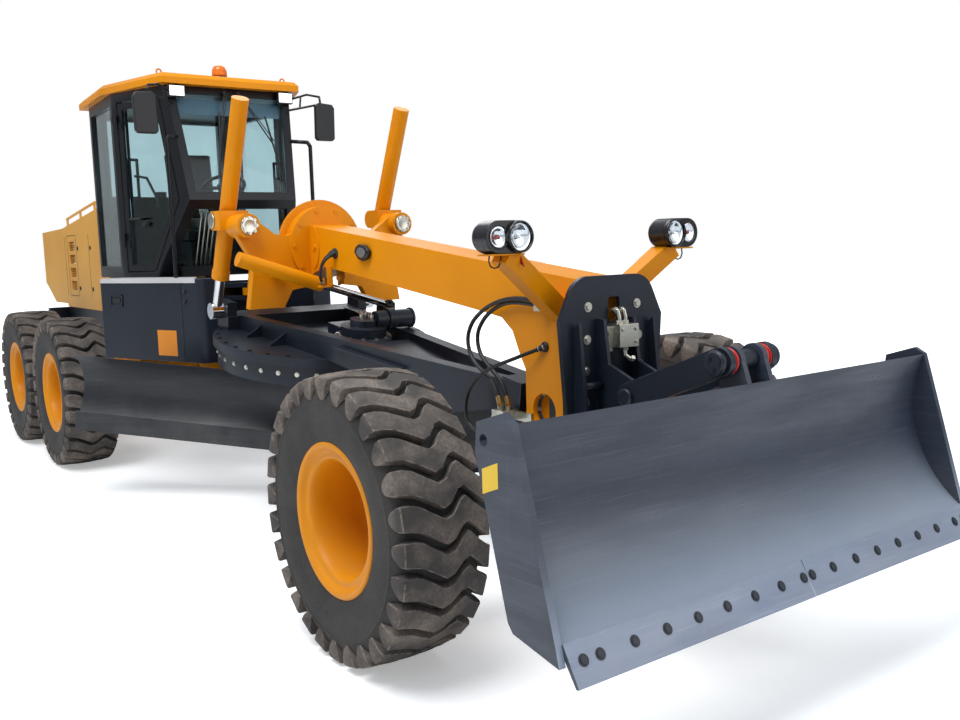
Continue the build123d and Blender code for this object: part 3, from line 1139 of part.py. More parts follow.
def rear_housing():
    """Radiator housing behind the hood, open at the back behind a grille."""
    front = HOOD_REAR_X - FIT
    half = HOOD_HALF_WIDTH
    outline = [(front, RAIL_TOP_Z + FIT), (front, HOOD_REAR_Z), (REAR_END_X, TAIL_TOP_Z), (REAR_END_X, TAIL_BOTTOM_Z),
               (TAIL_KNEE_X, RAIL_TOP_Z + FIT)]
    room = [(front + 1, RAIL_TOP_Z + HOOD_WALL), (front + 1, HOOD_REAR_Z - HOOD_WALL), (REAR_END_X - 1, TAIL_TOP_Z - HOOD_WALL),
            (REAR_END_X - 1, TAIL_BOTTOM_Z + 60), (TAIL_KNEE_X - 10, RAIL_TOP_Z + HOOD_WALL)]
    shell = side_prism(outline, -half, half) - side_prism(room, -half + HOOD_WALL, half - HOOD_WALL)
    pieces = [shell]
    for z in range(1710, 2110, 60):
        pieces.append(block(REAR_END_X + 10, REAR_END_X + 34, -half + HOOD_WALL - 1, half - HOOD_WALL + 1, z, z + 22))
    return fused(pieces)


def tandem_case():
    """Left chain case with the hubs of its two wheels."""
    outline = Plane.XZ.offset(-800) * Pos(TANDEM_X, WHEEL_Z) * SlotOverall(TANDEM_PITCH + 440, 440)
    case = extrude(outline, amount=150)
    hubs = [cross_bar(x, WHEEL_Z, HUB_RADIUS, 790, HUB_FACE_Y - FIT) for x in (MID_AXLE_X, REAR_AXLE_X)]
    return fused([case] + hubs)


def rear_axle():
    """Axle housing between the chain cases with its seats under the rails."""
    reach = 650 - FIT
    tube = cross_bar(TANDEM_X, WHEEL_Z, 185, -reach, reach)
    seat = block(TANDEM_X - 230, TANDEM_X + 230, RAIL_INNER_Y, RAIL_OUTER_Y, WHEEL_Z, RAIL_BOTTOM_Z)
    return fused([tube] + both_sides(seat))


# ---------------------------------------------------------------- cab

def cab_volume(inset):
    """The cab's outer form drawn in by a wall's inset."""
    side = Polygon((CAB_BROW_X, CAB_TOP_Z), CAB_NOSE, (CAB_TOE_X, CAB_FLOOR_Z), (CAB_REAR_X, CAB_FLOOR_Z),
                   (CAB_REAR_X, CAB_TOP_Z), align=None)
    nose_y = CAB_B_Y - CAB_SIDE_SLOPE * (-3700 - CAB_B_X)
    plan = Polygon((-3700, nose_y), (CAB_B_X, CAB_B_Y), (CAB_C_X, CAB_C_Y), (CAB_REAR_X, CAB_REAR_Y),
                   (CAB_REAR_X, -CAB_REAR_Y), (CAB_C_X, -CAB_C_Y), (CAB_B_X, -CAB_B_Y), (-3700, -nose_y), align=None)
    if inset:
        side = offset(side, -inset, kind=Kind.INTERSECTION)
        plan = offset(plan, -inset, kind=Kind.INTERSECTION)
    across = extrude(Plane.XZ.offset(-1000) * side, amount=2000, dir=(0, -1, 0))
    upright = extrude(Pos(0, 0, 1600) * plan, amount=1800, dir=(0, 0, 1))
    return across & upright


def door_plane():
    """Plane on the left door's panel: X runs forward along it, Y up and Z inwards."""
    return Plane(origin=(CAB_B_X, CAB_B_Y, 0), x_dir=(1, -CAB_SIDE_SLOPE, 0), z_dir=(-CAB_SIDE_SLOPE, -1, 0))


def door_run(x):
    """Distance along the door's panel for a distance forward of the cab's corner."""
    return (x - CAB_B_X) * hypot(1, CAB_SIDE_SLOPE)


def door_prism(clearance):
    """The door's outline, drawn in by a clearance and pulled square through its panel."""
    corners = ((CAB_B_X + DOOR_REAR_STEP, 1750), (-4268, 1750), (-3932, 2330), (-4096, 3170),
               (CAB_B_X + DOOR_REAR_STEP, 3170))
    outline = Polygon(*[(door_run(x), z) for x, z in corners], align=None)
    if clearance:
        outline = offset(outline, -clearance, kind=Kind.INTERSECTION)
    plane = door_plane().offset(-DOOR_REACH)
    return extrude(plane * outline, amount=2 * DOOR_REACH, dir=plane.z_dir)


def door_knuckle(low, leaf_low, leaf_high, seat_low, seat_high):
    """One barrel of the left door's hinge with its leaf and the pad under it."""
    run = door_run(CAB_B_X + DOOR_REAR_STEP)
    barrel = bar((run, low, -HINGE_STAND), (run, low + HINGE_LENGTH, -HINGE_STAND), HINGE_RADIUS)
    leaf = block(leaf_low, leaf_high, low, low + HINGE_LENGTH, -HINGE_LEAF_TOP, -1)
    pad = block(seat_low, seat_high, low, low + HINGE_LENGTH, -2, 3)
    return door_plane() * fused([barrel, leaf, pad])


def window_prisms(clearance):
    """Cutters for every fixed window: upper and lower front, rear, and both rear side windows."""
    c = clearance
    upper = front_prism([(-400 + c, 2390 + c), (400 - c, 2390 + c), (465 - c, 3180 - c), (-465 + c, 3180 - c)], -4400, -3600)
    lower = front_prism([(-500 + c, 1790 + c), (500 - c, 1790 + c), (405 - c, 2255 - c), (-405 + c, 2255 - c)], -4500, -3600)
    rear = front_prism([(-540 + c, 2450 + c), (540 - c, 2450 + c), (540 - c, 3160 - c), (-540 + c, 3160 - c)], -5900, -5600)
    side = side_prism([(CAB_C_X + 70 + c, 1800 + c), (CAB_B_X - 70 - c, 1800 + c), (CAB_B_X - 70 - c, 3160 - c),
                       (CAB_C_X + 70 + c, 3160 - c)], 600, 900)
    return [upper, lower, rear] + both_sides(side)


def cab_shell():
    """Cab frame: floor, pillars, sills and roof rim, hollow and open at its doors and windows."""
    shell = cab_volume(0) - cab_volume(CAB_WALL)
    for opening in window_prisms(0) + both_sides(door_prism(0)):
        shell = shell - opening
    run = door_run(CAB_B_X + DOOR_REAR_STEP)
    knuckles = [door_knuckle(z + HINGE_LENGTH + 1, 5, run, 5, run - 12) for z in HINGE_HEIGHTS]
    for knuckle in knuckles:
        for piece in both_sides(knuckle):
            shell = shell + piece
    return shell


def cab_glass():
    """Fixed panes in the middle of the cab's walls."""
    sheet = cab_volume(GLASS_INSET) - cab_volume(GLASS_INSET + GLASS_THICKNESS)
    return apart([sheet & opening for opening in window_prisms(FIT)])


def door_frame():
    """Left door's frame, as thick as the cab's wall."""
    wall = cab_volume(0) - cab_volume(CAB_WALL)
    frame = (wall & door_prism(DOOR_GAP)) - door_prism(DOOR_GAP + DOOR_FRAME)
    run = door_run(CAB_B_X + DOOR_REAR_STEP)
    for z in HINGE_HEIGHTS:
        frame = frame + door_knuckle(z, run, run + 58, run + DOOR_GAP + 8, run + 58)
    return frame


def door_glass():
    """Left door's pane."""
    sheet = cab_volume(GLASS_INSET) - cab_volume(GLASS_INSET + GLASS_THICKNESS)
    return sheet & door_prism(DOOR_GAP + DOOR_FRAME + FIT)


def cab_roof():
    """Roof cap with turned-in corners, overhanging the cab."""
    plan = [(-3921, 592), (-4084, 650), (-4790, 835), (-5757, 766), (-5757, -766), (-4790, -835), (-4084, -650),
            (-3921, -592)]
    cap = plan_prism(plan, CAB_TOP_Z, CAB_TOP_Z + ROOF_THICKNESS)
    return chamfer(cap.faces().sort_by(Axis.Z)[-1].edges(), 34)


def seat():
    """Driver's seat: pedestal, cushion and back."""
    floor = CAB_FLOOR_Z + CAB_WALL
    pedestal = block(-4980, -4720, -160, 160, floor, floor + 330)
    cushion = block(-5080, -4600, -250, 250, floor + 330, floor + 450)
    back = side_prism([(-5080, floor + 400), (-4960, floor + 400), (-5060, floor + 1080), (-5170, floor + 1080)], -240, 240)
    return fused([pedestal, cushion, back])


def console():
    """Steering column with its wheel and dash."""
    floor = CAB_FLOOR_Z + CAB_WALL
    column = side_prism([(-4420, floor), (-4320, floor), (-4215, floor + 540), (-4305, floor + 600)], -110, 110)
    wheel = Location((-4290, 0, floor + 690), (0, 60 - 90, 0)) * Torus(190, 15)
    hub = Location((-4290, 0, floor + 690), (0, -30, 0)) * Cylinder(40, 60)
    spoke = Location((-4290, 0, floor + 690), (0, -30, 0)) * Box(30, 380, 16)
    stem = bar((-4260, 0, floor + 520), (-4290, 0, floor + 690), 26)
    return fused([column, stem, hub, spoke, wheel])


def roof_lamps():
    """Two work lamps under the roof's front and the beacon on top."""
    lamp = block(-3985, -3925, 400, 540, CAB_TOP_Z - 105, CAB_TOP_Z)
    roof = CAB_TOP_Z + ROOF_THICKNESS
    beacon = bar((-4200, 0, roof), (-4200, 0, roof + 30), 62) + bar((-4200, 0, roof + 29), (-4200, 0, roof + 135), 50)
    return apart(both_sides(lamp) + [beacon])


def mirrors():
    """Mirrors on tube brackets, with the hand rails that rise from the steps."""
    pieces = []
    rail_foot = (-3810, 620, DECK_Z)
    rail_top = (-3810, 620, 2950)
    post = bar(rail_foot, rail_top, 17)
    hold = bar((-3810, 620, 2930), (-3905, 505, 2930), 15)
    arm = bar((-3810, 620, 2950 - 17), (-3800, 760, 2990), 13)
    glass = block(-3850, -3795, 690, 880, 2820, 3160)
    glass = fillet(glass.edges().filter_by(Axis.X), 34)
    left = fused([post, hold, arm, glass])
    return left


# ---------------------------------------------------------------- the assembly

def assembly():
    """Every node by name."""
    fittings = hose_blocks()
    nodes = {
        "rear_frame": rear_frame(),
        "engine_block": block(-7200, -5900, -350, 350, RAIL_TOP_Z, 2120),
        "hood": hood(),
        "rear_housing": rear_housing(),
        "rear_axle": rear_axle(),
        "tandem_cases": apart(both_sides(tandem_case())),
        "side_tanks": apart(both_sides(side_tank())),
        "cab_shell": cab_shell(),
        "cab_glass": cab_glass(),
        "cab_roof": cab_roof(),
        "seat": seat(),
        "console": console(),
        "roof_lamps": roof_lamps(),
        "mirrors": apart(both_sides(mirrors())),
        "front_frame": front_frame(),
        "ball_socket": ball_socket(),
        "saddle": saddle(),
        "front_axle": front_axle(),
        "lean_bar": lean_bar(),
        "dozer_mount": dozer_mount(),
        "dozer_link": dozer_link(),
        "dozer_arms": dozer_arms(),
        "dozer_blade": dozer_blade(),
        "headlamps": apart(both_sides(headlamp())),
        "valve_block": valve_block(),
        "hose_blocks": fittings,
        "hose_upper": hose(UPPER_HOSE, HOSE_RADIUS, fittings),
        "hose_lower": hose(LOWER_HOSE, HOSE_RADIUS, fittings),
        "hose_leg": hose(LEG_HOSE, LEG_HOSE_RADIUS, fittings),
        "drawbar": drawbar(),
        "circle_drive": circle_drive(),
        "circle": circle_ring(),
        "moldboard": moldboard(),
        "cutting_edge": cutting_edge(),
        "shift_tube": shift_tube(),
        "shift_rod": shift_rod(),
    }
    left_pieces = {
        "door": door_frame(),
        "door_glass": door_glass(),
        "lean_yoke": lean_yoke(),
        "knuckle": knuckle(),
        "lift_tube": lift_tube(),
        "lift_rod": lift_rod(),
    }
    for name, piece in left_pieces.items():
        nodes[name + "_left"] = piece
        nodes[name + "_right"] = mirror(piece, about=Plane.XZ)
    for name, piece in (("tyre", tyre()), ("rim", rim())):
        for place, x in (("front", 0.0), ("middle", MID_AXLE_X), ("rear", REAR_AXLE_X)):
            left = Pos(x, WHEEL_Y, WHEEL_Z) * piece
            nodes[f"{name}_{place}_left"] = left
            nodes[f"{name}_{place}_right"] = mirror(left, about=Plane.XZ)
    return nodes


os.makedirs("parts", exist_ok=True)
for node_name, shape in assembly().items():
    placed = [Pos(ORIGIN_SHIFT, 0, 0) * solid for solid in shape.solids()]
    export_step(placed[0] if len(placed) == 1 else Compound(children=placed), f"parts/{node_name}.step")
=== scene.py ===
import json
import logging
import math
from dataclasses import dataclass
from enum import Enum
from typing import Iterator, Sequence

import bmesh
import bpy
from mathutils import Matrix, Vector

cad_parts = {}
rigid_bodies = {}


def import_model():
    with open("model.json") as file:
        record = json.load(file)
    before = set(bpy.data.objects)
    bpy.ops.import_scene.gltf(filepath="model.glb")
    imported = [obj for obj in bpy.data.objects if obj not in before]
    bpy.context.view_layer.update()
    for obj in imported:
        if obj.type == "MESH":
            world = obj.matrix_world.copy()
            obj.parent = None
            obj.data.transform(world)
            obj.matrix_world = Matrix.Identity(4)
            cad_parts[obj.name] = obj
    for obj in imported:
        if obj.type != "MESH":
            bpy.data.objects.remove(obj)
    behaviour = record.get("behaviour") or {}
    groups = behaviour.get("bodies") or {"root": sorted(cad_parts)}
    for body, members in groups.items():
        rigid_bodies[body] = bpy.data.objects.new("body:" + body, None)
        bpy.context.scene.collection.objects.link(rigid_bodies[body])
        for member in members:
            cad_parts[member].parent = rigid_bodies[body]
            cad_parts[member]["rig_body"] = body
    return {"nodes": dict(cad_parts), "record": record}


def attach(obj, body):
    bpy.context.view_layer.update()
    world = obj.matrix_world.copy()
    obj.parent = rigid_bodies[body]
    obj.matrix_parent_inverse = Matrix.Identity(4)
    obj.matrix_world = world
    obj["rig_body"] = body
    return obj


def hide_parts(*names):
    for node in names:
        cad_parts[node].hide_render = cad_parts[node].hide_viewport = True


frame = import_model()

LOG = logging.getLogger("grader")
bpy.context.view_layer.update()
FRONT_AXLE_X = 3.413
FULL_TURN = 2 * math.pi

Point = tuple[float, float, float]
Colour = tuple[float, float, float]
Pairs = Sequence[tuple[float, float]]
Bolt = tuple[Vector, Vector]
Socket = bpy.types.NodeSocket


def at(x: float, y: float, z: float) -> Vector:
    """Turns millimetres measured from the front axle into a place in the shared frame.

    Args:
        x: Distance forward of the front axle.
        y: Distance to the machine's left.
        z: Height above the ground.

    Returns:
        The place in metres.
    """
    return Vector((x / 1000 + FRONT_AXLE_X, y / 1000, z / 1000))


class Side(Enum):
    """The machine's left and right."""

    LEFT = 1
    RIGHT = -1

    @property
    def word(self) -> str:
        """Name of the side as the nodes use it."""
        return self.name.lower()

    @property
    def out(self) -> Vector:
        """Direction away from the machine's middle."""
        return Vector((0, self.value, 0))

    def at(self, x: float, y: float, z: float) -> Vector:
        """A place on this side, from the same millimetres as the function of that name."""
        return at(x, self.value * y, z)


def turns(count: int, start: float = 0.0) -> list[float]:
    """Equal angles round a circle."""
    return [start + FULL_TURN * k / count for k in range(count)]


# ---------------------------------------------------------------- node wiring


class Wiring:
    """Short calls that add and join nodes in one node tree."""

    def __init__(self, tree: bpy.types.NodeTree) -> None:
        """Keeps the tree that the nodes go into."""
        self.tree = tree

    def node(self, kind: str, **settings: object) -> bpy.types.Node:
        """Adds a node and sets its properties.

        Args:
            kind: Blender's name of the node type.
            **settings: Properties of the node.

        Returns:
            The new node.
        """
        made = self.tree.nodes.new(kind)
        for key, value in settings.items():
            setattr(made, key, value)
        return made

    def join(self, value: object, target: Socket) -> None:
        """Links a socket, or sets a plain value, on an input."""
        if isinstance(value, Socket):
            self.tree.links.new(value, target)
        else:
            target.default_value = value

    def add(self, kind: str, feeds: dict[object, object], **settings: object) -> bpy.types.Node:
        """Adds a node and feeds its inputs, given by name or number."""
        made = self.node(kind, **settings)
        for key, value in feeds.items():
            self.join(value, made.inputs[key])
        return made

    def math(self, operation: str, first: object, second: object = 0.0, clamp: bool = False) -> Socket:
        """Adds a Math node.

        Args:
            operation: Name of the operation.
            first: Socket or number for the first input.
            second: Socket or number for the second input.
            clamp: Whether the result stays between 0 and 1.

        Returns:
            The result's socket.
        """
        return self.add("ShaderNodeMath", {0: first, 1: second}, operation=operation, use_clamp=clamp).outputs[0]

    def times(self, first: object, second: object, clamp: bool = False) -> Socket:
        """Multiplies two values."""
        return self.math("MULTIPLY", first, second, clamp)

    def span(self, value: Socket, low: float, high: float, to_low: float = 0.0, to_high: float = 1.0) -> Socket:
        """Maps a range of a value onto another range, held at its ends."""
        return self.add("ShaderNodeMapRange", {"Value": value, "From Min": low, "From Max": high, "To Min": to_low,
                                               "To Max": to_high}, clamp=True).outputs["Result"]

    def blend(self, mask: object, first: object, second: object) -> Socket:
        """Mixes two colours by a mask."""
        colours = [c if isinstance(c, Socket) else (*c, 1.0) for c in (first, second)]
        return self.add("ShaderNodeMix", {0: mask, 6: colours[0], 7: colours[1]}, data_type="RGBA").outputs[2]

    def part(self, vector: Socket, letter: str) -> Socket:
        """Takes one part of a vector."""
        return self.add("ShaderNodeSeparateXYZ", {0: vector}).outputs[letter]

    def place(self, scale: Point = (1.0, 1.0, 1.0)) -> Socket:
        """Object coordinates, stretched by a scale."""
        coordinates = self.node("ShaderNodeTexCoord").outputs["Object"]
        return self.add("ShaderNodeMapping", {"Scale": scale, "Vector": coordinates}).outputs["Vector"]

    def noise(self, scale: object, detail: float = 4.0, stretch: Point = (1.0, 1.0, 1.0),
              roughness: float = 0.55) -> Socket:
        """Adds a noise texture on object coordinates.

        Args:
            scale: How many features fit in a metre.
            detail: Number of finer layers.
            stretch: Scale along each axis before the noise.
            roughness: Strength of the finer layers.

        Returns:
            The noise value's socket.
        """
        return self.add("ShaderNodeTexNoise", {"Scale": scale, "Detail": detail, "Roughness": roughness,
                                               "Vector": self.place(stretch)}).outputs["Fac"]

    def bump(self, height: Socket, strength: float, distance: float) -> Socket:
        """Turns a height into a normal; the distance is in metres."""
        return self.add("ShaderNodeBump", {"Strength": strength, "Distance": distance, "Height": height}).outputs[0]

    def mask(self, name: str, **values: float) -> bpy.types.NodeOutputs:
        """Places a shared group, sets its inputs and gives its outputs."""
        feeds = {label.replace("_", " "): value for label, value in values.items()}
        return self.add("ShaderNodeGroup", feeds, node_tree=MASKS[name]).outputs


class Group(Wiring):
    """A node group with named inputs and outputs."""

    sockets: dict[type, str] = {float: "Float", int: "Int", tuple: "Vector", type(None): "Material", str: "Geometry"}

    def __init__(self, kind: str, name: str, inputs: dict[str, object], outputs: Sequence[str]) -> None:
        """Builds the group's sockets.

        Args:
            kind: Shader or Geometry, which is also the type of a geometry tree's only output.
            name: Name of the group.
            inputs: Default value of each input by its name; the value's type picks the socket's.
            outputs: Names of the outputs.
        """
        super().__init__(bpy.data.node_groups.new(name, kind + "NodeTree"))
        for label, value in inputs.items():
            socket = self.tree.interface.new_socket(label, in_out="INPUT",
                                                    socket_type="NodeSocket" + self.sockets[type(value)])
            if value is not None and value != "":
                socket.default_value = value
        for label in outputs:
            self.tree.interface.new_socket(label, in_out="OUTPUT", socket_type="NodeSocket" + (
                "Float" if kind == "Shader" else kind))
        self.start = self.node("NodeGroupInput").outputs
        self.end = self.node("NodeGroupOutput").inputs


def build_dust_mask() -> bpy.types.NodeTree:
    """Builds the group for dust on faces that look up and near the ground, broken up by noise."""
    group = Group("Shader", "settled dust", {"Amount": 0.5, "Low Dust": 0.5, "Reach": 1.2}, ["Dust"])
    up = group.span(group.part(group.node("ShaderNodeNewGeometry").outputs["Normal"], "Z"), 0.25, 1.0)
    fall = group.math("DIVIDE", group.part(group.place(), "Z"), group.start["Reach"])
    ground = group.times(group.math("SUBTRACT", 1.0, fall, clamp=True), group.start["Low Dust"])
    total = group.math("ADD", group.times(up, group.start["Amount"]), ground)
    patches = group.span(group.noise(2.6, 6.0), 0.35, 0.68)
    fine = group.span(group.noise(38.0, 3.0), 0.3, 0.7, 0.65, 1.0)
    group.join(group.times(group.times(total, patches), fine, clamp=True), group.end["Dust"])
    return group.tree


def build_wear_mask() -> bpy.types.NodeTree:
    """Builds the group that breaks the beveled edges' mark up with noise."""
    group = Group("Shader", "edge wear", {"Amount": 0.5, "Grain": 22.0}, ["Wear"])
    mark = group.node("ShaderNodeAttribute", attribute_name="edge").outputs["Fac"]
    broken = group.span(group.noise(group.start["Grain"], 5.0, roughness=0.5), 0.42, 0.62)
    group.join(group.times(group.times(mark, broken), group.start["Amount"], clamp=True), group.end["Wear"])
    return group.tree


def build_scratch_mask() -> bpy.types.NodeTree:
    """Builds the group for long fine scratches and broad rubbed streaks."""
    group = Group("Shader", "scratches", {"Amount": 0.5}, ["Scratch", "Streak"])
    fine = group.span(group.noise(60.0, 4.0, (0.05, 0.05, 2.2)), 0.56, 0.66)
    cross = group.span(group.noise(90.0, 3.0, (1.4, 1.4, 0.06)), 0.60, 0.68)
    both = group.math("MAXIMUM", fine, group.times(cross, 0.6))
    group.join(group.times(both, group.start["Amount"], clamp=True), group.end["Scratch"])
    group.join(group.span(group.noise(7.0, 5.0, (0.25, 0.25, 1.6)), 0.38, 0.70), group.end["Streak"])
    return group.tree


def build_grain_mask() -> bpy.types.NodeTree:
    """Builds the group for the fine surface grain that feeds bump and roughness."""
    group = Group("Shader", "fine grain", {"Scale": 300.0}, ["Grain", "Cloud"])
    group.join(group.noise(group.start["Scale"], 3.0, roughness=0.5), group.end["Grain"])
    group.join(group.noise(1.7, 3.0), group.end["Cloud"])
    return group.tree


MASKS: dict[str, bpy.types.NodeTree] = {"dust": build_dust_mask(), "wear": build_wear_mask(),
                                        "scratch": build_scratch_mask(), "grain": build_grain_mask()}


# ---------------------------------------------------------------- finishes


@dataclass(frozen=True)
class Finish:
    """A material with one Principled BSDF, fed by its subclass.

    Attributes:
        name: Name of the material.
        colour: Main colour.
    """

    name: str
    colour: Colour

    def feeds(self, wire: Wiring) -> dict[str, object]:
        """Gives the shader's inputs by name, as sockets or plain values."""
        raise NotImplementedError

    def darker(self, share: float) -> Colour:
        """The main colour, darkened."""
        return tuple(c * share for c in self.colour)

    def build(self) -> bpy.types.Material:
        """Makes the material."""
        material = bpy.data.materials.new(self.name)
        material.use_nodes = True
        wire = Wiring(material.node_tree)
        shader = material.node_tree.nodes["Principled BSDF"]
        for label, value in self.feeds(wire).items():
            wire.join(value, shader.inputs[label])
        return material


@dataclass(frozen=True)
class Paint(Finish):
    """Enamel on steel with cloudy colour, dust and worn edges.

    Attributes:
        shade: Darker colour of the clouds.
        roughness: Gloss of the clean paint.
        dust: How much dust lies on faces that look up.
        low_dust: How much dust clings near the ground.
        dust_colour: Colour of the dust.
        wear: How far the edges are worn.
        worn: Colour under the paint's edges.
        coat: Weight of the clear coat.
        gloss: Level of the plain reflection.
    """

    shade: Colour
    roughness: float = 0.34
    dust: float = 0.35
    low_dust: float = 0.3
    dust_colour: Colour = (0.42, 0.36, 0.29)
    wear: float = 0.4
    worn: Colour = (0.5, 0.5, 0.5)
    coat: float = 0.25
    gloss: float = 0.32

    def feeds(self, wire: Wiring) -> dict[str, object]:
        """Gives the shader's inputs."""
        grain = wire.mask("grain", Scale=260.0)
        dust = wire.mask("dust", Amount=self.dust, Low_Dust=self.low_dust)["Dust"]
        wear = wire.mask("wear", Amount=self.wear)["Wear"]
        colour = wire.blend(wire.span(grain["Cloud"], 0.3, 0.7), self.colour, self.shade)
        colour = wire.blend(dust, wire.blend(wear, colour, self.worn), self.dust_colour)
        rough = wire.span(grain["Grain"], 0.3, 0.7, self.roughness - 0.05, self.roughness + 0.07)
        rough = wire.math("ADD", rough, wire.times(dust, 0.45), clamp=True)
        return {"Base Color": colour, "Roughness": rough, "Specular IOR Level": self.gloss,
                "Coat Weight": self.coat, "Coat Roughness": 0.16, "Normal": wire.bump(grain["Grain"], 0.25, 0.0006)}


@dataclass(frozen=True)
class ScouredPaint(Finish):
    """Dark paint or steel that earth has scratched and dulled.

    Attributes:
        rubbed: Colour of the rubbed streaks.
        scratch: Colour of the fine scratches.
        roughness: Middle roughness.
        metal: How metallic the surface is.
        dust: Dust on faces that look up.
        amount: Strength of the scratches.
        polished: Strength of the painted sky reflection that lightens the lower part where it faces forward.
    """

    rubbed: Colour
    scratch: Colour
    roughness: float
    metal: float = 0.0
    dust: float = 0.1
    amount: float = 0.2
    polished: float = 0.0

    def feeds(self, wire: Wiring) -> dict[str, object]:
        """Gives the shader's inputs."""
        marks = wire.mask("scratch", Amount=self.amount)
        dust = wire.mask("dust", Amount=self.dust, Low_Dust=0.35, Reach=0.9)["Dust"]
        wear = wire.mask("wear", Amount=0.75, Grain=14.0)["Wear"]
        grain = wire.mask("grain", Scale=180.0)["Grain"]
        colour = wire.blend(marks["Streak"], self.colour, self.rubbed)
        colour = wire.blend(marks["Scratch"], colour, self.scratch)
        # Painted reflection: the lower part, where it faces forward, is blended towards a pale blue that stands for the
        # sky reflected in it.
        if self.polished > 0.0:
            spot = wire.node("ShaderNodeTexCoord").outputs
            low = wire.math("POWER", wire.span(wire.part(spot["Object"], "Z"), 0.98, 0.52), 1.7)
            ahead = wire.span(wire.part(spot["Normal"], "X"), 0.15, 0.5)
            colour = wire.blend(wire.times(wire.times(low, self.polished), ahead), colour, (0.36, 0.42, 0.52))
        colour = wire.blend(dust, wire.blend(wear, colour, self.scratch), (0.34, 0.31, 0.28))
        rough = wire.span(marks["Streak"], 0.0, 1.0, self.roughness + 0.1, self.roughness - 0.08)
        return {"Base Color": colour, "Metallic": self.metal,
                "Roughness": wire.math("ADD", rough, wire.times(dust, 0.4), clamp=True),
                "Normal": wire.bump(wire.math("SUBTRACT", grain, marks["Scratch"]), 0.3, 0.0008)}


@dataclass(frozen=True)
class Rubber(Finish):
    """Dusty rubber, paler where earth has dried on it.

    Attributes:
        dried: Colour of the dried earth.
        earth: How much earth there is.
        roughness: Middle roughness.
    """

    dried: Colour
    earth: float
    roughness: float = 0.8

    def feeds(self, wire: Wiring) -> dict[str, object]:
        """Gives the shader's inputs."""
        grain = wire.mask("grain", Scale=140.0)["Grain"]
        wear = wire.mask("wear", Amount=0.55, Grain=30.0)["Wear"]
        patches = wire.span(wire.noise(5.0, 7.0), 0.40, 0.72)
        fine = wire.span(wire.noise(70.0, 4.0), 0.35, 0.75, 0.35, 1.0)
        earth = wire.times(wire.times(patches, fine), self.earth, clamp=True)
        return {"Base Color": wire.blend(wear, wire.blend(earth, self.colour, self.dried), self.dried),
                "Roughness": wire.span(grain, 0.3, 0.7, self.roughness - 0.1, self.roughness + 0.1),
                "Normal": wire.bump(grain, 0.5, 0.0015)}


@dataclass(frozen=True)
class BareMetal(Finish):
    """Chrome, plated or cast metal with faint smears.

    Attributes:
        roughness: Lowest roughness.
        smear: How far the roughness varies.
    """

    roughness: float
    smear: float

    def feeds(self, wire: Wiring) -> dict[str, object]:
        """Gives the shader's inputs."""
        smears = wire.span(wire.noise(9.0, 5.0, (1.0, 1.0, 0.4)), 0.35, 0.7)
        return {"Base Color": wire.blend(smears, self.colour, self.darker(0.82)), "Metallic": 1.0,
                "Roughness": wire.math("ADD", wire.times(smears, self.smear), self.roughness)}


@dataclass(frozen=True)
class Glass(Finish):
    """Thin tinted glass; its colour is that of the light that goes through.

    Attributes:
        roughness: Roughness of the clean pane.
    """

    roughness: float = 0.02

    def feeds(self, wire: Wiring) -> dict[str, object]:
        """Gives the shader's inputs."""
        film = wire.span(wire.noise(3.0, 5.0), 0.35, 0.75)
        return {"Base Color": wire.blend(film, self.colour, self.darker(0.93)), "Transmission Weight": 1.0,
                "Roughness": wire.span(film, 0.0, 1.0, self.roughness, self.roughness + 0.03), "IOR": 1.27}


@dataclass(frozen=True)
class Plastic(Finish):
    """Moulded plastic or sign film with a fine grain.

    Attributes:
        roughness: Middle roughness.
        grain: Height of the moulded grain in metres.
        dust: Dust on faces that look up.
    """

    roughness: float
    grain: float = 0.0004
    dust: float = 0.2

    def feeds(self, wire: Wiring) -> dict[str, object]:
        """Gives the shader's inputs."""
        grain = wire.mask("grain", Scale=420.0)
        dust = wire.mask("dust", Amount=self.dust, Low_Dust=0.0)["Dust"]
        colour = wire.blend(wire.span(grain["Cloud"], 0.3, 0.7), self.colour, self.darker(0.8))
        return {"Base Color": wire.blend(dust, colour, (0.4, 0.36, 0.31)),
                "Roughness": wire.span(grain["Grain"], 0.3, 0.7, self.roughness - 0.06, self.roughness + 0.08),
                "Normal": wire.bump(grain["Grain"], 0.4, self.grain)}


@dataclass(frozen=True)
class Cloth(Finish):
    """Woven seat cloth.

    Attributes:
        pale: Colour of the raised threads.
    """

    pale: Colour

    def feeds(self, wire: Wiring) -> dict[str, object]:
        """Gives the shader's inputs."""
        threads = [wire.add("ShaderNodeTexWave", {"Scale": 160.0, "Distortion": 0.6, "Vector": wire.place()},
                            bands_direction=direction).outputs["Fac"] for direction in ("X", "Z")]
        weave = wire.times(*threads)
        return {"Base Color": wire.blend(weave, self.colour, self.pale), "Sheen Weight": 0.3,
                "Roughness": wire.span(weave, 0.0, 1.0, 0.95, 0.8), "Normal": wire.bump(weave, 0.5, 0.001)}


@dataclass(frozen=True)
class Floor(Finish):
    """Matt floor that shines for the camera alone, and more so far from the machine."""

    def feeds(self, wire: Wiring) -> dict[str, object]:
        """Gives the shader's inputs."""
        away = wire.add("ShaderNodeVectorMath", {0: wire.node("ShaderNodeTexCoord").outputs["Object"]},
                        operation="LENGTH").outputs["Value"]
        glow = wire.span(wire.span(away, 5.5, 11.0), 0.0, 1.0, 0.35, 1.0)
        seen = wire.node("ShaderNodeLightPath").outputs["Is Camera Ray"]
        return {"Base Color": wire.blend(wire.noise(0.8), self.colour, (0.92, 0.92, 0.92)), "Roughness": 0.9,
                "Specular IOR Level": 0.1, "Emission Strength": wire.times(glow, seen),
                "Emission Color": (1.0, 1.0, 1.0, 1.0)}


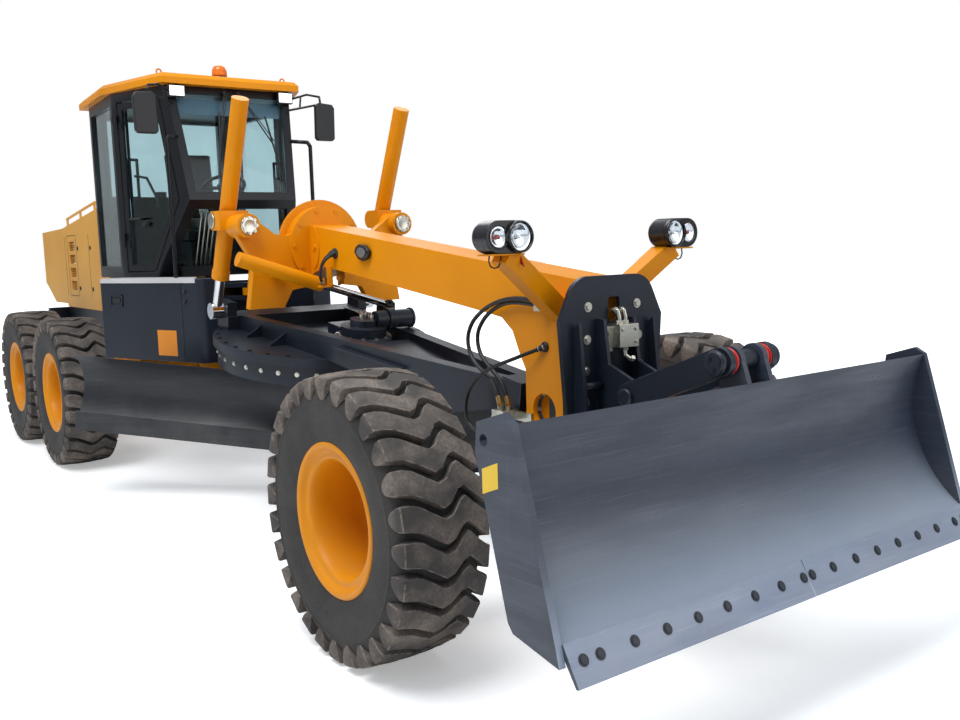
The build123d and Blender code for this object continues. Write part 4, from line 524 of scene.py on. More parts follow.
FINISHES: dict[str, Finish] = {
    "yellow": Paint("machine yellow", (0.80, 0.285, 0.002), (0.74, 0.255, 0.002), 0.34, 0.06, 0.02,
                    (0.60, 0.36, 0.12), 0.25, (0.66, 0.36, 0.06), 0.06, 0.14),
    "pale": Paint("hood yellow", (0.80, 0.40, 0.055), (0.74, 0.35, 0.045), 0.42, 0.25, 0.08,
                  (0.60, 0.42, 0.2), 0.25, (0.62, 0.46, 0.2), 0.1),
    "rim": Paint("rim yellow", (0.76, 0.28, 0.004), (0.66, 0.23, 0.003), 0.4, 0.3, 0.2,
                 (0.40, 0.24, 0.08), 0.5, (0.40, 0.24, 0.08), 0.06, 0.18),
    # The dark paint's pale blue-grey worn edges are partly real edge wear and partly painted highlight, for the light
    # that the beveled edges catch.
    "dark": Paint("dark frame paint", (0.008, 0.0115, 0.020), (0.013, 0.018, 0.029), 0.4, 0.12, 0.2,
                  (0.12, 0.11, 0.10), 0.6, (0.17, 0.185, 0.21), 0.1),
    "cab": Paint("cab black", (0.004, 0.0045, 0.007), (0.006, 0.007, 0.010), 0.32, 0.05, 0.0,
                 wear=0.3, worn=(0.05, 0.05, 0.06), coat=0.2),
    "step": Paint("step plate", (0.50, 0.50, 0.51), (0.60, 0.59, 0.58), 0.5, 0.3, 0.1,
                  (0.55, 0.50, 0.44), 0.5, (0.7, 0.7, 0.7)),
    "grey": Paint("engine grey", (0.09, 0.095, 0.10), (0.07, 0.075, 0.08), roughness=0.5, dust=0.5),
    # The blade paint is a darker copy of the front blade's paint; the darkening is painted shade, for the machine's
    # shadow on the main blade and its cutting edge.
    "blade": ScouredPaint("blade paint", (0.010, 0.012, 0.016), (0.017, 0.020, 0.026), (0.07, 0.075, 0.085), 0.38),
    # The front blade's paint carries a painted sky reflection on its lower, forward-facing part.
    "front blade": ScouredPaint("front blade paint", (0.024, 0.031, 0.049), (0.038, 0.048, 0.071),
                                (0.13, 0.15, 0.19), 0.34, dust=0.05, amount=0.16, polished=0.9),
    "edge": ScouredPaint("cutting edge steel", (0.19, 0.225, 0.305), (0.24, 0.28, 0.36), (0.36, 0.40, 0.47),
                         0.36, metal=0.1, amount=0.25),
    "tyre": Rubber("tyre rubber", (0.050, 0.043, 0.039), (0.30, 0.24, 0.195), 1.0),
    "wall": Rubber("tyre side rubber", (0.022, 0.020, 0.019), (0.085, 0.072, 0.061), 0.6, 0.72),
    "hose": Rubber("hose rubber", (0.012, 0.012, 0.013), (0.05, 0.047, 0.043), 0.25, 0.45),
    "trim": Rubber("window rubber", (0.012, 0.012, 0.012), (0.05, 0.047, 0.043), 0.1, 0.6),
    "chrome": BareMetal("rod chrome", (0.78, 0.78, 0.78), 0.07, 0.1),
    "plated": BareMetal("plated fittings", (0.62, 0.60, 0.52), 0.25, 0.15),
    "brass": BareMetal("brass fittings", (0.62, 0.42, 0.18), 0.3, 0.15),
    "mirror": BareMetal("mirror glass", (0.85, 0.87, 0.88), 0.02, 0.02),
    "glass": Glass("cab glazing", (0.61, 0.755, 0.785)),
    "lens": Glass("lamp lens", (0.93, 0.95, 0.97), 0.03),
    "beacon": Plastic("beacon orange", (0.85, 0.20, 0.01), 0.16, 0.0001, 0.0),
    "housing": Plastic("lamp housing", (0.012, 0.012, 0.014), 0.25, 0.0002, 0.1),
    "plastic": Plastic("dark plastic", (0.016, 0.016, 0.018), 0.45),
    "orange sign": Plastic("orange sign film", (0.93, 0.31, 0.008), 0.35, 0.0001, 0.1),
    "yellow sign": Plastic("yellow sign film", (0.90, 0.58, 0.02), 0.35, 0.0001, 0.05),
    "grey glass": Plastic("side lamp glass", (0.16, 0.17, 0.18), 0.1, 0.0001, 0.05),
    "blue band": Plastic("tinted band", (0.20, 0.28, 0.38), 0.3, 0.0001, 0.05),
    "red": Plastic("red seal", (0.55, 0.02, 0.012), 0.35, 0.0002, 0.1),
    "seat": Cloth("seat cloth", (0.018, 0.018, 0.020), (0.05, 0.05, 0.055)),
    "floor": Floor("pale floor", (0.90, 0.90, 0.90)),
}
MATERIALS: dict[str, bpy.types.Material] = {key: finish.build() for key, finish in FINISHES.items()}
BY_SLOT: dict[str, str] = {
    "yellow_paint": "yellow", "pale_yellow_paint": "pale", "rim_paint": "rim", "dark_paint": "dark",
    "blade_paint": "blade", "worn_steel": "edge", "tyre_rubber": "tyre", "rod_chrome": "chrome",
    "cab_glass": "glass", "lamp_plastic": "housing", "seat_cloth": "seat", "dark_plastic": "plastic",
    "engine_grey": "grey", "plated_fittings": "plated", "hose_rubber": "hose",
}


# ---------------------------------------------------------------- mesh helpers


EDGE_ANGLE = math.radians(32)
LUG_ANGLE = math.radians(40)
FLAT_ANGLE = 0.012
MERGE = 2e-5
PROFILE = 0.6
NORMAL_WEIGHT = 60
TINY = 1e-6
WASHER_SHARE = 1.45
SLOTS: dict[str, str] = {part["node"]: part["material_slot"] for part in frame["record"]["subparts"]}


def soften(bm: bmesh.types.BMesh, width: float, segments: int = 2, angle: float = EDGE_ANGLE) -> None:
    """Bevels the sharp edges of a closed mesh and marks the new faces as worn.

    Args:
        bm: Mesh to change.
        width: Width of the bevels in metres.
        segments: Number of faces across each bevel.
        angle: Edges sharper than this are beveled.
    """
    mark = bm.faces.layers.float.get("edge") or bm.faces.layers.float.new("edge")
    sharp = [e for e in bm.edges if len(e.link_faces) == 2 and e.calc_face_angle(0.0) > angle]
    if sharp and width > 0:
        made = bmesh.ops.bevel(bm, geom=sharp, offset=width, offset_type="OFFSET", segments=segments, profile=PROFILE,
                               affect="EDGES", clamp_overlap=True)
        for face in made["faces"]:
            face[mark] = 1.0


def modify(obj: bpy.types.Object, kind: str, **settings: object) -> bpy.types.Modifier:
    """Adds a modifier and sets its properties."""
    modifier = obj.modifiers.new(kind.lower(), kind)
    for key, value in settings.items():
        setattr(modifier, key, value)
    return modifier


def apply_modifiers(obj: bpy.types.Object) -> bpy.types.Object:
    """Turns an object's evaluated shape into its own plain mesh and gives the object back."""
    bpy.context.view_layer.update()
    made = bpy.data.meshes.new_from_object(obj.evaluated_get(bpy.context.evaluated_depsgraph_get()))
    obj.modifiers.clear()
    obj.data = made
    return obj


def link(name: str, data: bpy.types.ID) -> bpy.types.Object:
    """Puts a mesh, curve, lamp or camera into the scene as an object at the origin."""
    obj = bpy.data.objects.new(name, data)
    bpy.context.scene.collection.objects.link(obj)
    return obj


def settle(obj: bpy.types.Object, body: str, slot: str, nodes: Sequence[str] = ()) -> bpy.types.Object:
    """Ties a finished object to its body and hides the nodes that it stands for."""
    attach(obj, body)
    if nodes:
        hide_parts(*nodes)
    LOG.info("%s rides on %s", obj.name, body)
    return obj


def polish(obj: bpy.types.Object, body: str, slot: str, nodes: Sequence[str] = ()) -> bpy.types.Object:
    """Shades an object smooth, with normals weighted by the size of its faces, and settles it."""
    obj.data.shade_smooth()
    modify(obj, "WEIGHTED_NORMAL", mode="FACE_AREA_WITH_ANGLE", weight=NORMAL_WEIGHT, keep_sharp=False)
    return settle(apply_modifiers(obj), body, slot, nodes)


def frame_from(direction: Vector) -> Matrix:
    """A turn that takes Z to a direction."""
    return direction.normalized().to_track_quat("Z", "X").to_matrix().to_4x4()


class Sketch:
    """Collects simple forms in one mesh and makes a piece of it; sizes other than places are in metres."""

    def __init__(self, name: str) -> None:
        """Starts an empty mesh."""
        self.name = name
        self.bm = bmesh.new()
        self.bm.faces.layers.float.new("edge")

    def box(self, corner: Vector, other: Vector) -> None:
        """Adds a box between two opposite corners."""
        size = Vector(abs(b - a) for a, b in zip(corner, other))
        place = Matrix.Translation((corner + other) / 2) @ Matrix.Diagonal((*size, 1.0))
        bmesh.ops.create_cube(self.bm, size=1.0, matrix=place)

    def rod(self, start: Vector, end: Vector, radius: float, tip: float | None = None, steps: int = 20) -> None:
        """Adds a round bar or cone between two points.

        Args:
            start: Middle of the first end.
            end: Middle of the other end.
            radius: Radius at the start.
            tip: Radius at the end, the same as at the start if left out.
            steps: Number of sides.
        """
        place = Matrix.Translation((start + end) / 2) @ frame_from(end - start)
        bmesh.ops.create_cone(self.bm, cap_ends=True, segments=steps, radius1=radius,
                              radius2=radius if tip is None else tip, depth=(end - start).length, matrix=place)

    def ball(self, middle: Vector, radius: float, steps: int = 16) -> None:
        """Adds a ball."""
        bmesh.ops.create_uvsphere(self.bm, u_segments=steps, v_segments=steps // 2, radius=radius,
                                  matrix=Matrix.Translation(middle))

    def tube(self, points: Sequence[Vector], radius: float, steps: int = 14, corner: float | None = None,
             corner_steps: int | None = None) -> None:
        """Adds a bent tube with ball corners.

        Args:
            points: Corners and ends of its middle line.
            radius: Radius of the tube.
            steps: Number of sides.
            corner: Radius of the balls, the tube's own if left out.
            corner_steps: Number of sides of the balls, the tube's own if left out.
        """
        for start, end in zip(points, points[1:]):
            self.rod(start, end, radius, steps=steps)
        for middle in points[1:-1]:
            self.ball(middle, corner or radius, corner_steps or steps)

    def prism(self, outline: Sequence[Vector], push: Sequence[float]) -> None:
        """Adds a solid by pushing a flat outline along a vector."""
        low = [self.bm.verts.new(p) for p in outline]
        high = [self.bm.verts.new(p + Vector(push)) for p in outline]
        faces = [self.bm.faces.new(low), self.bm.faces.new(high[::-1])]
        for i, vertex in enumerate(low):
            after = (i + 1) % len(low)
            faces.append(self.bm.faces.new((vertex, high[i], high[after], low[after])))
        bmesh.ops.recalc_face_normals(self.bm, faces=faces)

    def lathe(self, profile: Pairs, origin: Vector, axis: Vector, steps: int = 40) -> None:
        """Adds a turned form.

        Args:
            profile: Closed outline as pairs of radius and distance along the axis.
            origin: Zero of the axis.
            axis: Direction of the axis.
            steps: Number of facets around it.
        """
        place = Matrix.Translation(origin) @ frame_from(axis)
        rings = [[self.bm.verts.new(place @ Vector((radius * math.cos(turn), radius * math.sin(turn), along)))
                  for turn in turns(steps)[:1 if radius < TINY else steps]] for radius, along in profile]
        faces = []
        for first, second in zip(rings, rings[1:] + rings[:1]):
            for k in range(steps):
                after = (k + 1) % steps
                corners = dict.fromkeys((first[k % len(first)], first[after % len(first)],
                                         second[after % len(second)], second[k % len(second)]))
                if len(corners) > 2:
                    faces.append(self.bm.faces.new(list(corners)))
        bmesh.ops.recalc_face_normals(self.bm, faces=faces)

    def mirror(self, side: Side) -> None:
        """Moves all that is in the sketch to a side of the machine."""
        bmesh.ops.transform(self.bm, matrix=Matrix.Diagonal((1, side.value, 1, 1)), verts=self.bm.verts)
        bmesh.ops.recalc_face_normals(self.bm, faces=self.bm.faces)

    def mesh(self) -> bpy.types.Mesh:
        """Gives the plain mesh and ends the sketch."""
        made = bpy.data.meshes.new(self.name)
        self.bm.to_mesh(made)
        self.bm.free()
        return made

    def finish(self, body: str, slot: str, look: str = "", bevel: float = 0.0, nodes: Sequence[str] = (),
               segments: int = 2) -> None:
        """Makes the piece and ties it to its body.

        Args:
            body: Body that it rides on.
            slot: Slot of the record that its finish belongs to.
            look: Key of its material, the slot's own if left out.
            bevel: Width of the softened edges in metres.
            nodes: Nodes that it stands for.
            segments: Faces across each bevel.
        """
        soften(self.bm, bevel, segments)
        obj = link(self.name, self.mesh())
        obj.data.materials.append(MATERIALS[look or BY_SLOT[slot]])
        polish(obj, body, slot, nodes)


# ---------------------------------------------------------------- geometry nodes


class Flow(Group):
    """A geometry node tree that ends in plain geometry with one material."""

    def __init__(self, name: str, inputs: dict[str, object]) -> None:
        """Builds the tree's sockets; the inputs are as in a shader group, with None for the material."""
        super().__init__("Geometry", name, {"Geometry": "", **inputs, "Material": None}, ["Geometry"])

    def close(self, points: Socket, copy: Socket, rotation: object) -> "Flow":
        """Sets a copy on each point, realizes the copies, sets their material and ends the tree.

        Args:
            points: Points that the copies stand on.
            copy: Geometry that is repeated.
            rotation: Turn of each copy.

        Returns:
            This tree.
        """
        copies = self.add("GeometryNodeInstanceOnPoints", {"Points": points, "Instance": copy, "Rotation": rotation})
        plain = self.add("GeometryNodeRealizeInstances", {0: copies.outputs[0]})
        self.join(self.add("GeometryNodeSetMaterial", {"Geometry": plain.outputs[0], "Material":
                                                       self.start["Material"]}).outputs[0], self.end["Geometry"])
        return self

    def use(self, obj: bpy.types.Object, look: str, **values: object) -> bpy.types.Object:
        """Adds the tree to an object, sets its inputs by name, and applies the result.

        Args:
            obj: Object that gives the tree its mesh.
            look: Key of the material.
            **values: Input values.

        Returns:
            The object with its plain mesh.
        """
        modifier = modify(obj, "NODES", node_group=self.tree)
        keys = {item.name: item.identifier for item in self.tree.interface.items_tree if item.in_out == "INPUT"}
        for label, value in {**values, "Material": MATERIALS[look]}.items():
            modifier[keys[label]] = value
        return apply_modifiers(obj)


def build_ring_tree() -> Flow:
    """Builds the tree that repeats a mesh around an axis through a point."""
    flow = Flow("ring of copies", {"Count": 8, "Axis": (0.0, 0.0, 1.0), "Centre": (0.0, 0.0, 0.0)})
    points = flow.add("GeometryNodePoints", {"Count": flow.start["Count"], "Position": flow.start["Centre"]})
    turn = flow.times(flow.node("GeometryNodeInputIndex").outputs[0], FULL_TURN)
    turn = flow.math("DIVIDE", turn, flow.start["Count"])
    rotation = flow.add("FunctionNodeAxisAngleToRotation", {"Axis": flow.start["Axis"], "Angle": turn})
    minus = flow.add("ShaderNodeVectorMath", {0: flow.start["Centre"], "Scale": -1.0}, operation="SCALE")
    back = flow.add("GeometryNodeTransform", {"Geometry": flow.start["Geometry"], "Translation": minus.outputs[0]})
    return flow.close(points.outputs[0], back.outputs[0], rotation.outputs[0])


def build_fastener_tree() -> Flow:
    """Builds the tree that sets a hexagon head on a washer at each point, along its vector named facing."""
    flow = Flow("fasteners", {"Radius": 0.012, "Height": 0.009, "Washer": 0.018})
    together = flow.node("GeometryNodeJoinGeometry")
    for sides, radius, share in ((6, "Radius", 1.0), (20, "Washer", 0.3)):
        deep = flow.times(flow.start["Height"], share)
        form = flow.add("GeometryNodeMeshCylinder", {"Vertices": sides, "Radius": flow.start[radius], "Depth": deep},
                        fill_type="NGON")
        lift = flow.add("ShaderNodeCombineXYZ", {"Z": flow.times(deep, 0.5)})
        head = flow.add("GeometryNodeTransform", {"Geometry": form.outputs["Mesh"], "Translation": lift.outputs[0]})
        flow.join(head.outputs[0], together.inputs[0])
    facing = flow.add("GeometryNodeInputNamedAttribute", {"Name": "facing"}, data_type="FLOAT_VECTOR")
    turn = flow.add("FunctionNodeAlignRotationToVector", {"Vector": facing.outputs["Attribute"]}, axis="Z")
    return flow.close(flow.start["Geometry"], together.outputs[0], turn.outputs[0])


RING = build_ring_tree()
FASTENERS = build_fastener_tree()


def ring_of_bolts(middle: Vector, axis: Sequence[float], radius: float, count: int, start: float = 0.0) -> list[Bolt]:
    """Places and directions of bolts evenly on a circle.

    Args:
        middle: Middle of the circle.
        axis: Direction of the heads.
        radius: Radius of the circle.
        count: Number of bolts.
        start: Turn of the first bolt.

    Returns:
        The bolts.
    """
    turn = frame_from(Vector(axis))
    return [(middle + turn @ Vector((radius * math.cos(a), radius * math.sin(a), 0.0)), Vector(axis))
            for a in turns(count, start)]


def set_bolts(name: str, body: str, slot: str, look: str, radius: float, height: float,
              bolts: Sequence[Bolt]) -> None:
    """Makes one piece of equal bolts.

    Args:
        name: Name of the piece.
        body: Body that they ride on.
        slot: Slot of the record.
        look: Key of their material, the slot's own if empty.
        radius: Radius across the heads' corners in metres.
        height: Height of the heads in metres.
        bolts: Each bolt's place on the surface and the direction of its head.
    """
    mesh = bpy.data.meshes.new(name)
    mesh.from_pydata([place for place, _ in bolts], [], [])
    facing = mesh.attributes.new("facing", "FLOAT_VECTOR", "POINT")
    facing.data.foreach_set("vector", [c for _, way in bolts for c in way.normalized()])
    settle(FASTENERS.use(link(name, mesh), look or BY_SLOT[slot], Radius=radius, Height=height,
                         Washer=radius * WASHER_SHARE), body, slot)


def dress_node(node: str, look: str, bevel: float) -> None:
    """Makes the piece that stands for a carried node, with softened edges.

    Args:
        node: Name of the node.
        look: Key of its material.
        bevel: Width of the softened edges in metres.
    """
    source = frame["nodes"][node]
    bm = bmesh.new()
    bm.from_mesh(source.data)
    bmesh.ops.remove_doubles(bm, verts=bm.verts, dist=MERGE)
    bmesh.ops.dissolve_limit(bm, angle_limit=FLAT_ANGLE, verts=bm.verts, edges=bm.edges)
    soften(bm, bevel)
    mesh = bpy.data.meshes.new(node + "_dressed")
    bm.to_mesh(mesh)
    bm.free()
    mesh.materials.append(MATERIALS[look])
    polish(link(mesh.name, mesh), source["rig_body"], SLOTS[node], (node,))


class Assembly:
    """A group of pieces; each method that makes one starts with make_."""

    def build(self) -> None:
        """Makes all the pieces in the order that the class gives them."""
        for name in [name for name in vars(type(self)) if name.startswith("make_")]:
            getattr(self, name)()


# ---------------------------------------------------------------- wheels


def mirrored(profile: Pairs) -> list[tuple[float, float]]:
    """The profile's points in reverse, on the other side of its middle."""
    return [(radius, -along) for radius, along in reversed(profile)]


@dataclass
class Wheel(Assembly):
    """One wheel: carcass, zigzag tread lugs, deep rim and its nuts.

    Attributes:
        place: Axle that it belongs to.
        side: Side of the machine.
        x: Distance of its axle forward of the front axle, in millimetres.
        lugs: Number of lugs.
        foot: How much wider a lug's foot is on each side, in radians.
        lug_bevel: Width of the lugs' softened edges in metres.
        top: Radius of the tyre's body at its middle.
        nuts: Number of nuts on each of its two circles.
        circles: Depth inward from the wheel's middle, radius and first turn of each circle of nuts.
        track_half: Distance of the wheel's middle from the machine's, in millimetres.
        height: Height of the axle, in millimetres.
        shift: How far round the lug's inner end lies from its outer end, in pitches.
        carcass: Half of the tyre's section, as radius and distance outward.
        dish: The rim's section, as radius and distance outward.
        crown: Sections along the lug's outer face: distance outward, radius, the foot's distance outward and
            radius, offset round the tyre and half width in pitches.
        wall: The same for its ends on the side walls, without the offset.
    """

    place: str
    side: Side
    x: float
    lugs: int = 28
    foot: float = 0.010
    lug_bevel: float = 0.004
    top: float = 0.632
    nuts: int = 10
    circles: Sequence[Point] = ((0.138, 0.205, 0.0), (0.117, 0.131, 0.3))
    track_half: float = 1078.0
    height: float = 674.0
    shift: float = 0.62
    carcass: Pairs = (
        (0.317, 0.160), (0.326, 0.172), (0.345, 0.181), (0.372, 0.193), (0.405, 0.204), (0.445, 0.2125),
        (0.490, 0.2165), (0.528, 0.2160), (0.540, 0.2155), (0.544, 0.2185), (0.549, 0.2185), (0.553, 0.2145),
        (0.575, 0.2080), (0.598, 0.1980), (0.616, 0.1840), (0.626, 0.1650), (0.629, 0.1300), (0.631, 0.0650),
    )
    dish: Pairs = (
        (0.316, 0.168), (0.330, 0.172), (0.350, 0.1745), (0.361, 0.180), (0.364, 0.188), (0.359, 0.1945),
        (0.348, 0.1965), (0.336, 0.193), (0.327, 0.186), (0.320, 0.177), (0.312, 0.1695), (0.303, 0.1665),
        (0.295, 0.168), (0.287, 0.1675), (0.280, 0.162), (0.274, 0.150), (0.268, 0.128), (0.264, 0.095),
        (0.263, 0.020), (0.262, -0.080), (0.258, -0.110), (0.246, -0.130), (0.228, -0.137), (0.150, -0.139),
        (0.150, -0.122), (0.144, -0.117), (0.117, -0.115), (0.110, -0.108), (0.098, -0.080), (0.090, -0.072),
        (0.0, -0.070), (0.0, -0.164), (0.301, -0.164), (0.316, -0.168), (0.350, -0.1745), (0.362, -0.180),
        (0.362, -0.188), (0.350, -0.1945), (0.330, -0.190), (0.304, -0.170), (0.304, 0.150),
    )
    crown: Sequence[Sequence[float]] = (
        (0.210, 0.661, 0.176, 0.620, 0.0, 0.35), (0.160, 0.668, 0.160, 0.626, 0.03, 0.36),
        (0.120, 0.6705, 0.120, 0.628, 0.11, 0.36), (0.060, 0.673, 0.060, 0.630, 0.36, 0.345),
        (0.008, 0.674, 0.008, 0.630, 0.57, 0.35), (-0.030, 0.6735, -0.030, 0.630, 0.47, 0.345),
        (-0.075, 0.6725, -0.075, 0.629, 0.12, 0.345), (-0.105, 0.6715, -0.105, 0.628, 0.03, 0.36),
        (-0.155, 0.668, -0.155, 0.626, 0.34, 0.345), (-0.210, 0.661, -0.176, 0.620, 0.62, 0.35),
    )
    wall: Sequence[Sequence[float]] = (
        (0.2135, 0.556, 0.206, 0.562, 0.10), (0.2205, 0.580, 0.200, 0.588, 0.21),
        (0.2225, 0.612, 0.190, 0.606, 0.29), (0.2215, 0.642, 0.183, 0.615, 0.34),
    )

    def __post_init__(self) -> None:
        """Works out the wheel's name, body and middle."""
        self.name = f"{self.place}_{self.side.word}"
        self.body = f"wheel_{self.name}"
        self.centre = self.side.at(self.x, self.track_half, self.height)

    def point(self, across: float, radius: float, angle: float) -> Vector:
        """A point of the wheel from its distance outward, radius and angle."""
        return self.centre + Vector((radius * math.cos(angle), self.side.value * across, -radius * math.sin(angle)))

    def make_carcass(self) -> None:
        """Makes the tyre's body."""
        sketch = Sketch(f"tyre_{self.name}_carcass")
        sketch.lathe([*self.carcass, (self.top, 0.0), *mirrored(self.carcass)], self.centre, self.side.out, 96)
        sketch.finish(self.body, "tyre_rubber", "wall", nodes=(f"tyre_{self.name}",))

    def make_tread(self) -> None:
        """Makes the lugs as copies of one round the axle."""
        pitch = FULL_TURN / self.lugs
        sketch = Sketch(f"tyre_{self.name}_tread")
        outer = [(*spots, 0.0, half) for *spots, half in self.wall]
        inner = [(-a, b, -c, d, self.shift, half) for a, b, c, d, half in reversed(self.wall)]
        rings = []
        for across, radius, low_across, low_radius, offset, half in (*outer, *self.crown, *inner):
            top, root = (across, radius), (low_across, low_radius)
            middle, half = offset * pitch, half * pitch
            rings.append([sketch.bm.verts.new(self.point(*spot, middle + reach)) for spot, reach in (
                (root, -half - self.foot), (top, -half), (top, half), (root, half + self.foot))])
        faces = [sketch.bm.faces.new(rings[0]), sketch.bm.faces.new(rings[-1])]
        for first, second in zip(rings, rings[1:]):
            for k in range(4):
                after = (k + 1) % 4
                faces.append(sketch.bm.faces.new((first[k], second[k], second[after], first[after])))
        bmesh.ops.recalc_face_normals(sketch.bm, faces=faces)
        soften(sketch.bm, self.lug_bevel, 1, LUG_ANGLE)
        obj = RING.use(link(sketch.name, sketch.mesh()), "tyre", Count=self.lugs, Axis=(0.0, 1.0, 0.0),
                       Centre=tuple(self.centre))
        polish(obj, self.body, "tyre_rubber", (f"tyre_{self.name}",))

    def make_rim(self) -> None:
        """Makes the deep rim and its nuts."""
        sketch = Sketch(f"rim_{self.name}_dish")
        sketch.lathe(self.dish, self.centre, self.side.out, 80)
        sketch.finish(self.body, "rim_paint", nodes=(f"rim_{self.name}",))
        nuts = [bolt for depth, radius, start in self.circles for bolt in
                ring_of_bolts(self.centre - self.side.out * depth, self.side.out, radius, self.nuts, start)]
        set_bolts(f"rim_{self.name}_nuts", self.body, "rim_paint", "", 0.017, 0.020, nuts)


# ---------------------------------------------------------------- front blade


@dataclass
class FrontBlade(Assembly):
    """Wear plate, bolts, pins and seals of the front blade and its bracket, in millimetres."""

    half_width: float = 1262.0
    gap: float = 4.0
    edge_top: tuple[float, float] = (1575.0, 607.0)
    edge_tip: tuple[float, float] = (1654.0, 479.0)
    bolt_rows: Sequence[float] = (28.0, 170.0, 330.0, 490.0, 650.0, 810.0, 970.0, 1130.0, 1205.0)
    link_rear: tuple[float, float] = (766.0, 1198.0)
    link_front: tuple[float, float] = (1290.0, 1398.0)
    bracket_bolts: Pairs = ((160.0, 1597.0), (168.0, 1444.0), (178.0, 1297.0), (184.0, 1146.0))
    cap: Pairs = ((0.0, -0.004), (0.052, -0.004), (0.052, 0.006), (0.044, 0.012), (0.0, 0.012))
    seal: Pairs = ((0.041, 0.0), (0.055, 0.001), (0.058, 0.008), (0.055, 0.014), (0.041, 0.016))
    keeper: Pairs = ((0.0, -0.002), (0.040, -0.002), (0.040, 0.005), (0.034, 0.010), (0.0, 0.010))

    def make_edge(self) -> None:
        """Makes the thin wear plate and its bolts."""
        (x0, z0), (x1, z1) = self.edge_top, self.edge_tip
        length = math.hypot(x1 - x0, z1 - z0)
        normal = Vector(((z0 - z1) / length, 0, (x1 - x0) / length))
        sketch = Sketch("front_blade_edge")
        for low, high in ((-self.half_width, -self.gap), (self.gap, self.half_width)):
            sketch.prism([at(x0 - 2, low, z0 - 2), at(x0, low, z0) + normal * 0.006, at(x1, low, z1),
                          at(x1 - 3, low, z1)], (0, (high - low) / 1000, 0))
        sketch.finish("dozer_blade", "blade_paint", "edge", 0.0012)
        x, z = x0 * 0.55 + x1 * 0.45, z0 * 0.55 + z1 * 0.45
        set_bolts("front_blade_edge_bolts", "dozer_blade", "worn_steel", "dark", 0.015, 0.0045,
                  [(side.at(x, y, z) + normal * 0.003, normal) for y in self.bolt_rows for side in Side])

    def make_pins(self) -> None:
        """Makes the pins' caps, keeper bolts and red seals."""
        x, z = self.link_front
        caps, seals, bolts = Sketch("blade_pin_caps"), Sketch("blade_pin_seals"), []
        for side in Side:
            caps.lathe(self.cap, side.at(x, 172, z), side.out, 32)
            bolts += [(side.at(x, 184, z) + Vector((0.03 * math.cos(a), 0, 0.03 * math.sin(a))), side.out)
                      for a in turns(3, 0.4)]
            for y in (113.0, 89.0):
                seals.lathe(self.seal, side.at(x, y, z), side.out, 32)
        caps.finish("dozer_link", "dark_paint", bevel=0.001)
        seals.finish("dozer_link", "dark_paint", "red")
        set_bolts("blade_pin_bolts", "dozer_link", "dark_paint", "", 0.010, 0.008, bolts)

    def make_bracket(self) -> None:
        """Makes the bracket's bolts, cross tubes and pin keepers."""
        set_bolts("bracket_bolts", "front_frame", "plated_fittings", "", 0.016, 0.013,
                  [(side.at(523, y, z), Vector((1, 0, 0))) for y, z in self.bracket_bolts for side in Side])
        tubes, keepers = Sketch("bracket_tubes"), Sketch("bracket_keepers")
        for side in Side:
            tubes.rod(side.at(556, 107, 1230), side.at(556, 235, 1230), 0.017)
            keepers.lathe(self.keeper, side.at(self.link_rear[0], 164, self.link_rear[1]), side.out, 32)
        tubes.finish("front_frame", "dark_paint")
        keepers.finish("front_frame", "dark_paint", bevel=0.001)

    def make_sign(self) -> None:
        """Makes the blank yellow sign on the right end plate."""
        sketch = Sketch("blade_signs")
        sketch.prism([at(x, -1290, z) for x, z in ((1200, 1040), (1290, 1075), (1290, 1165), (1200, 1130))],
                     (0, -0.0006, 0))
        sketch.finish("dozer_blade", "yellow_paint", "yellow sign")


@dataclass
class ValveFittings(Assembly):
    """Elbows and nuts on the hydraulic block of the bracket.

    Attributes:
        pipes: Each pipe's corners in millimetres.
        nuts: Each nut's two ends in millimetres, and its radius in metres.
        plugs: Each plug's foot in millimetres.
        bore: Radius of the pipes in metres.
    """

    pipes: Sequence[Sequence[Point]] = (
        ((530, -14, 1575), (566, -10, 1572), (572, -6, 1540), (572, -6, 1508)),
        ((530, 26, 1575), (566, 30, 1572), (572, 34, 1540), (572, 34, 1508)),
        ((590, 10, 1402), (592, 10, 1362), (604, 26, 1346), (612, 52, 1342)),
    )
    nuts: Sequence[tuple[Point, Point, float]] = (
        ((572, -6, 1510), (572, -6, 1526), 0.017), ((560, -11, 1574), (544, -13, 1575), 0.016),
        ((572, 34, 1510), (572, 34, 1526), 0.017), ((560, 29, 1574), (544, 27, 1575), 0.016),
        ((590, 10, 1404), (590, 10, 1386), 0.018), ((606, 32, 1345), (610, 48, 1342), 0.017),
    )
    plugs: Sequence[Point] = ((613, -22, 1486), (613, 66, 1486), (613, 66, 1424), (563, -62, 1470))
    bore: float = 0.011

    def make_fittings(self) -> None:
        """Makes the fittings as one piece."""
        sketch = Sketch("valve_fittings")
        for pipe in self.pipes:
            sketch.tube([at(*corner) for corner in pipe], self.bore, corner=self.bore * 1.02, corner_steps=12)
        for start, end, radius in self.nuts:
            sketch.rod(at(*start), at(*end), radius, steps=6)
        for x, y, z in self.plugs:
            sketch.rod(at(x, y, z), at(x + 9, y, z), 0.010, steps=6)
        sketch.finish("front_frame", "plated_fittings", bevel=0.0006)


# ---------------------------------------------------------------- saddle and cylinders


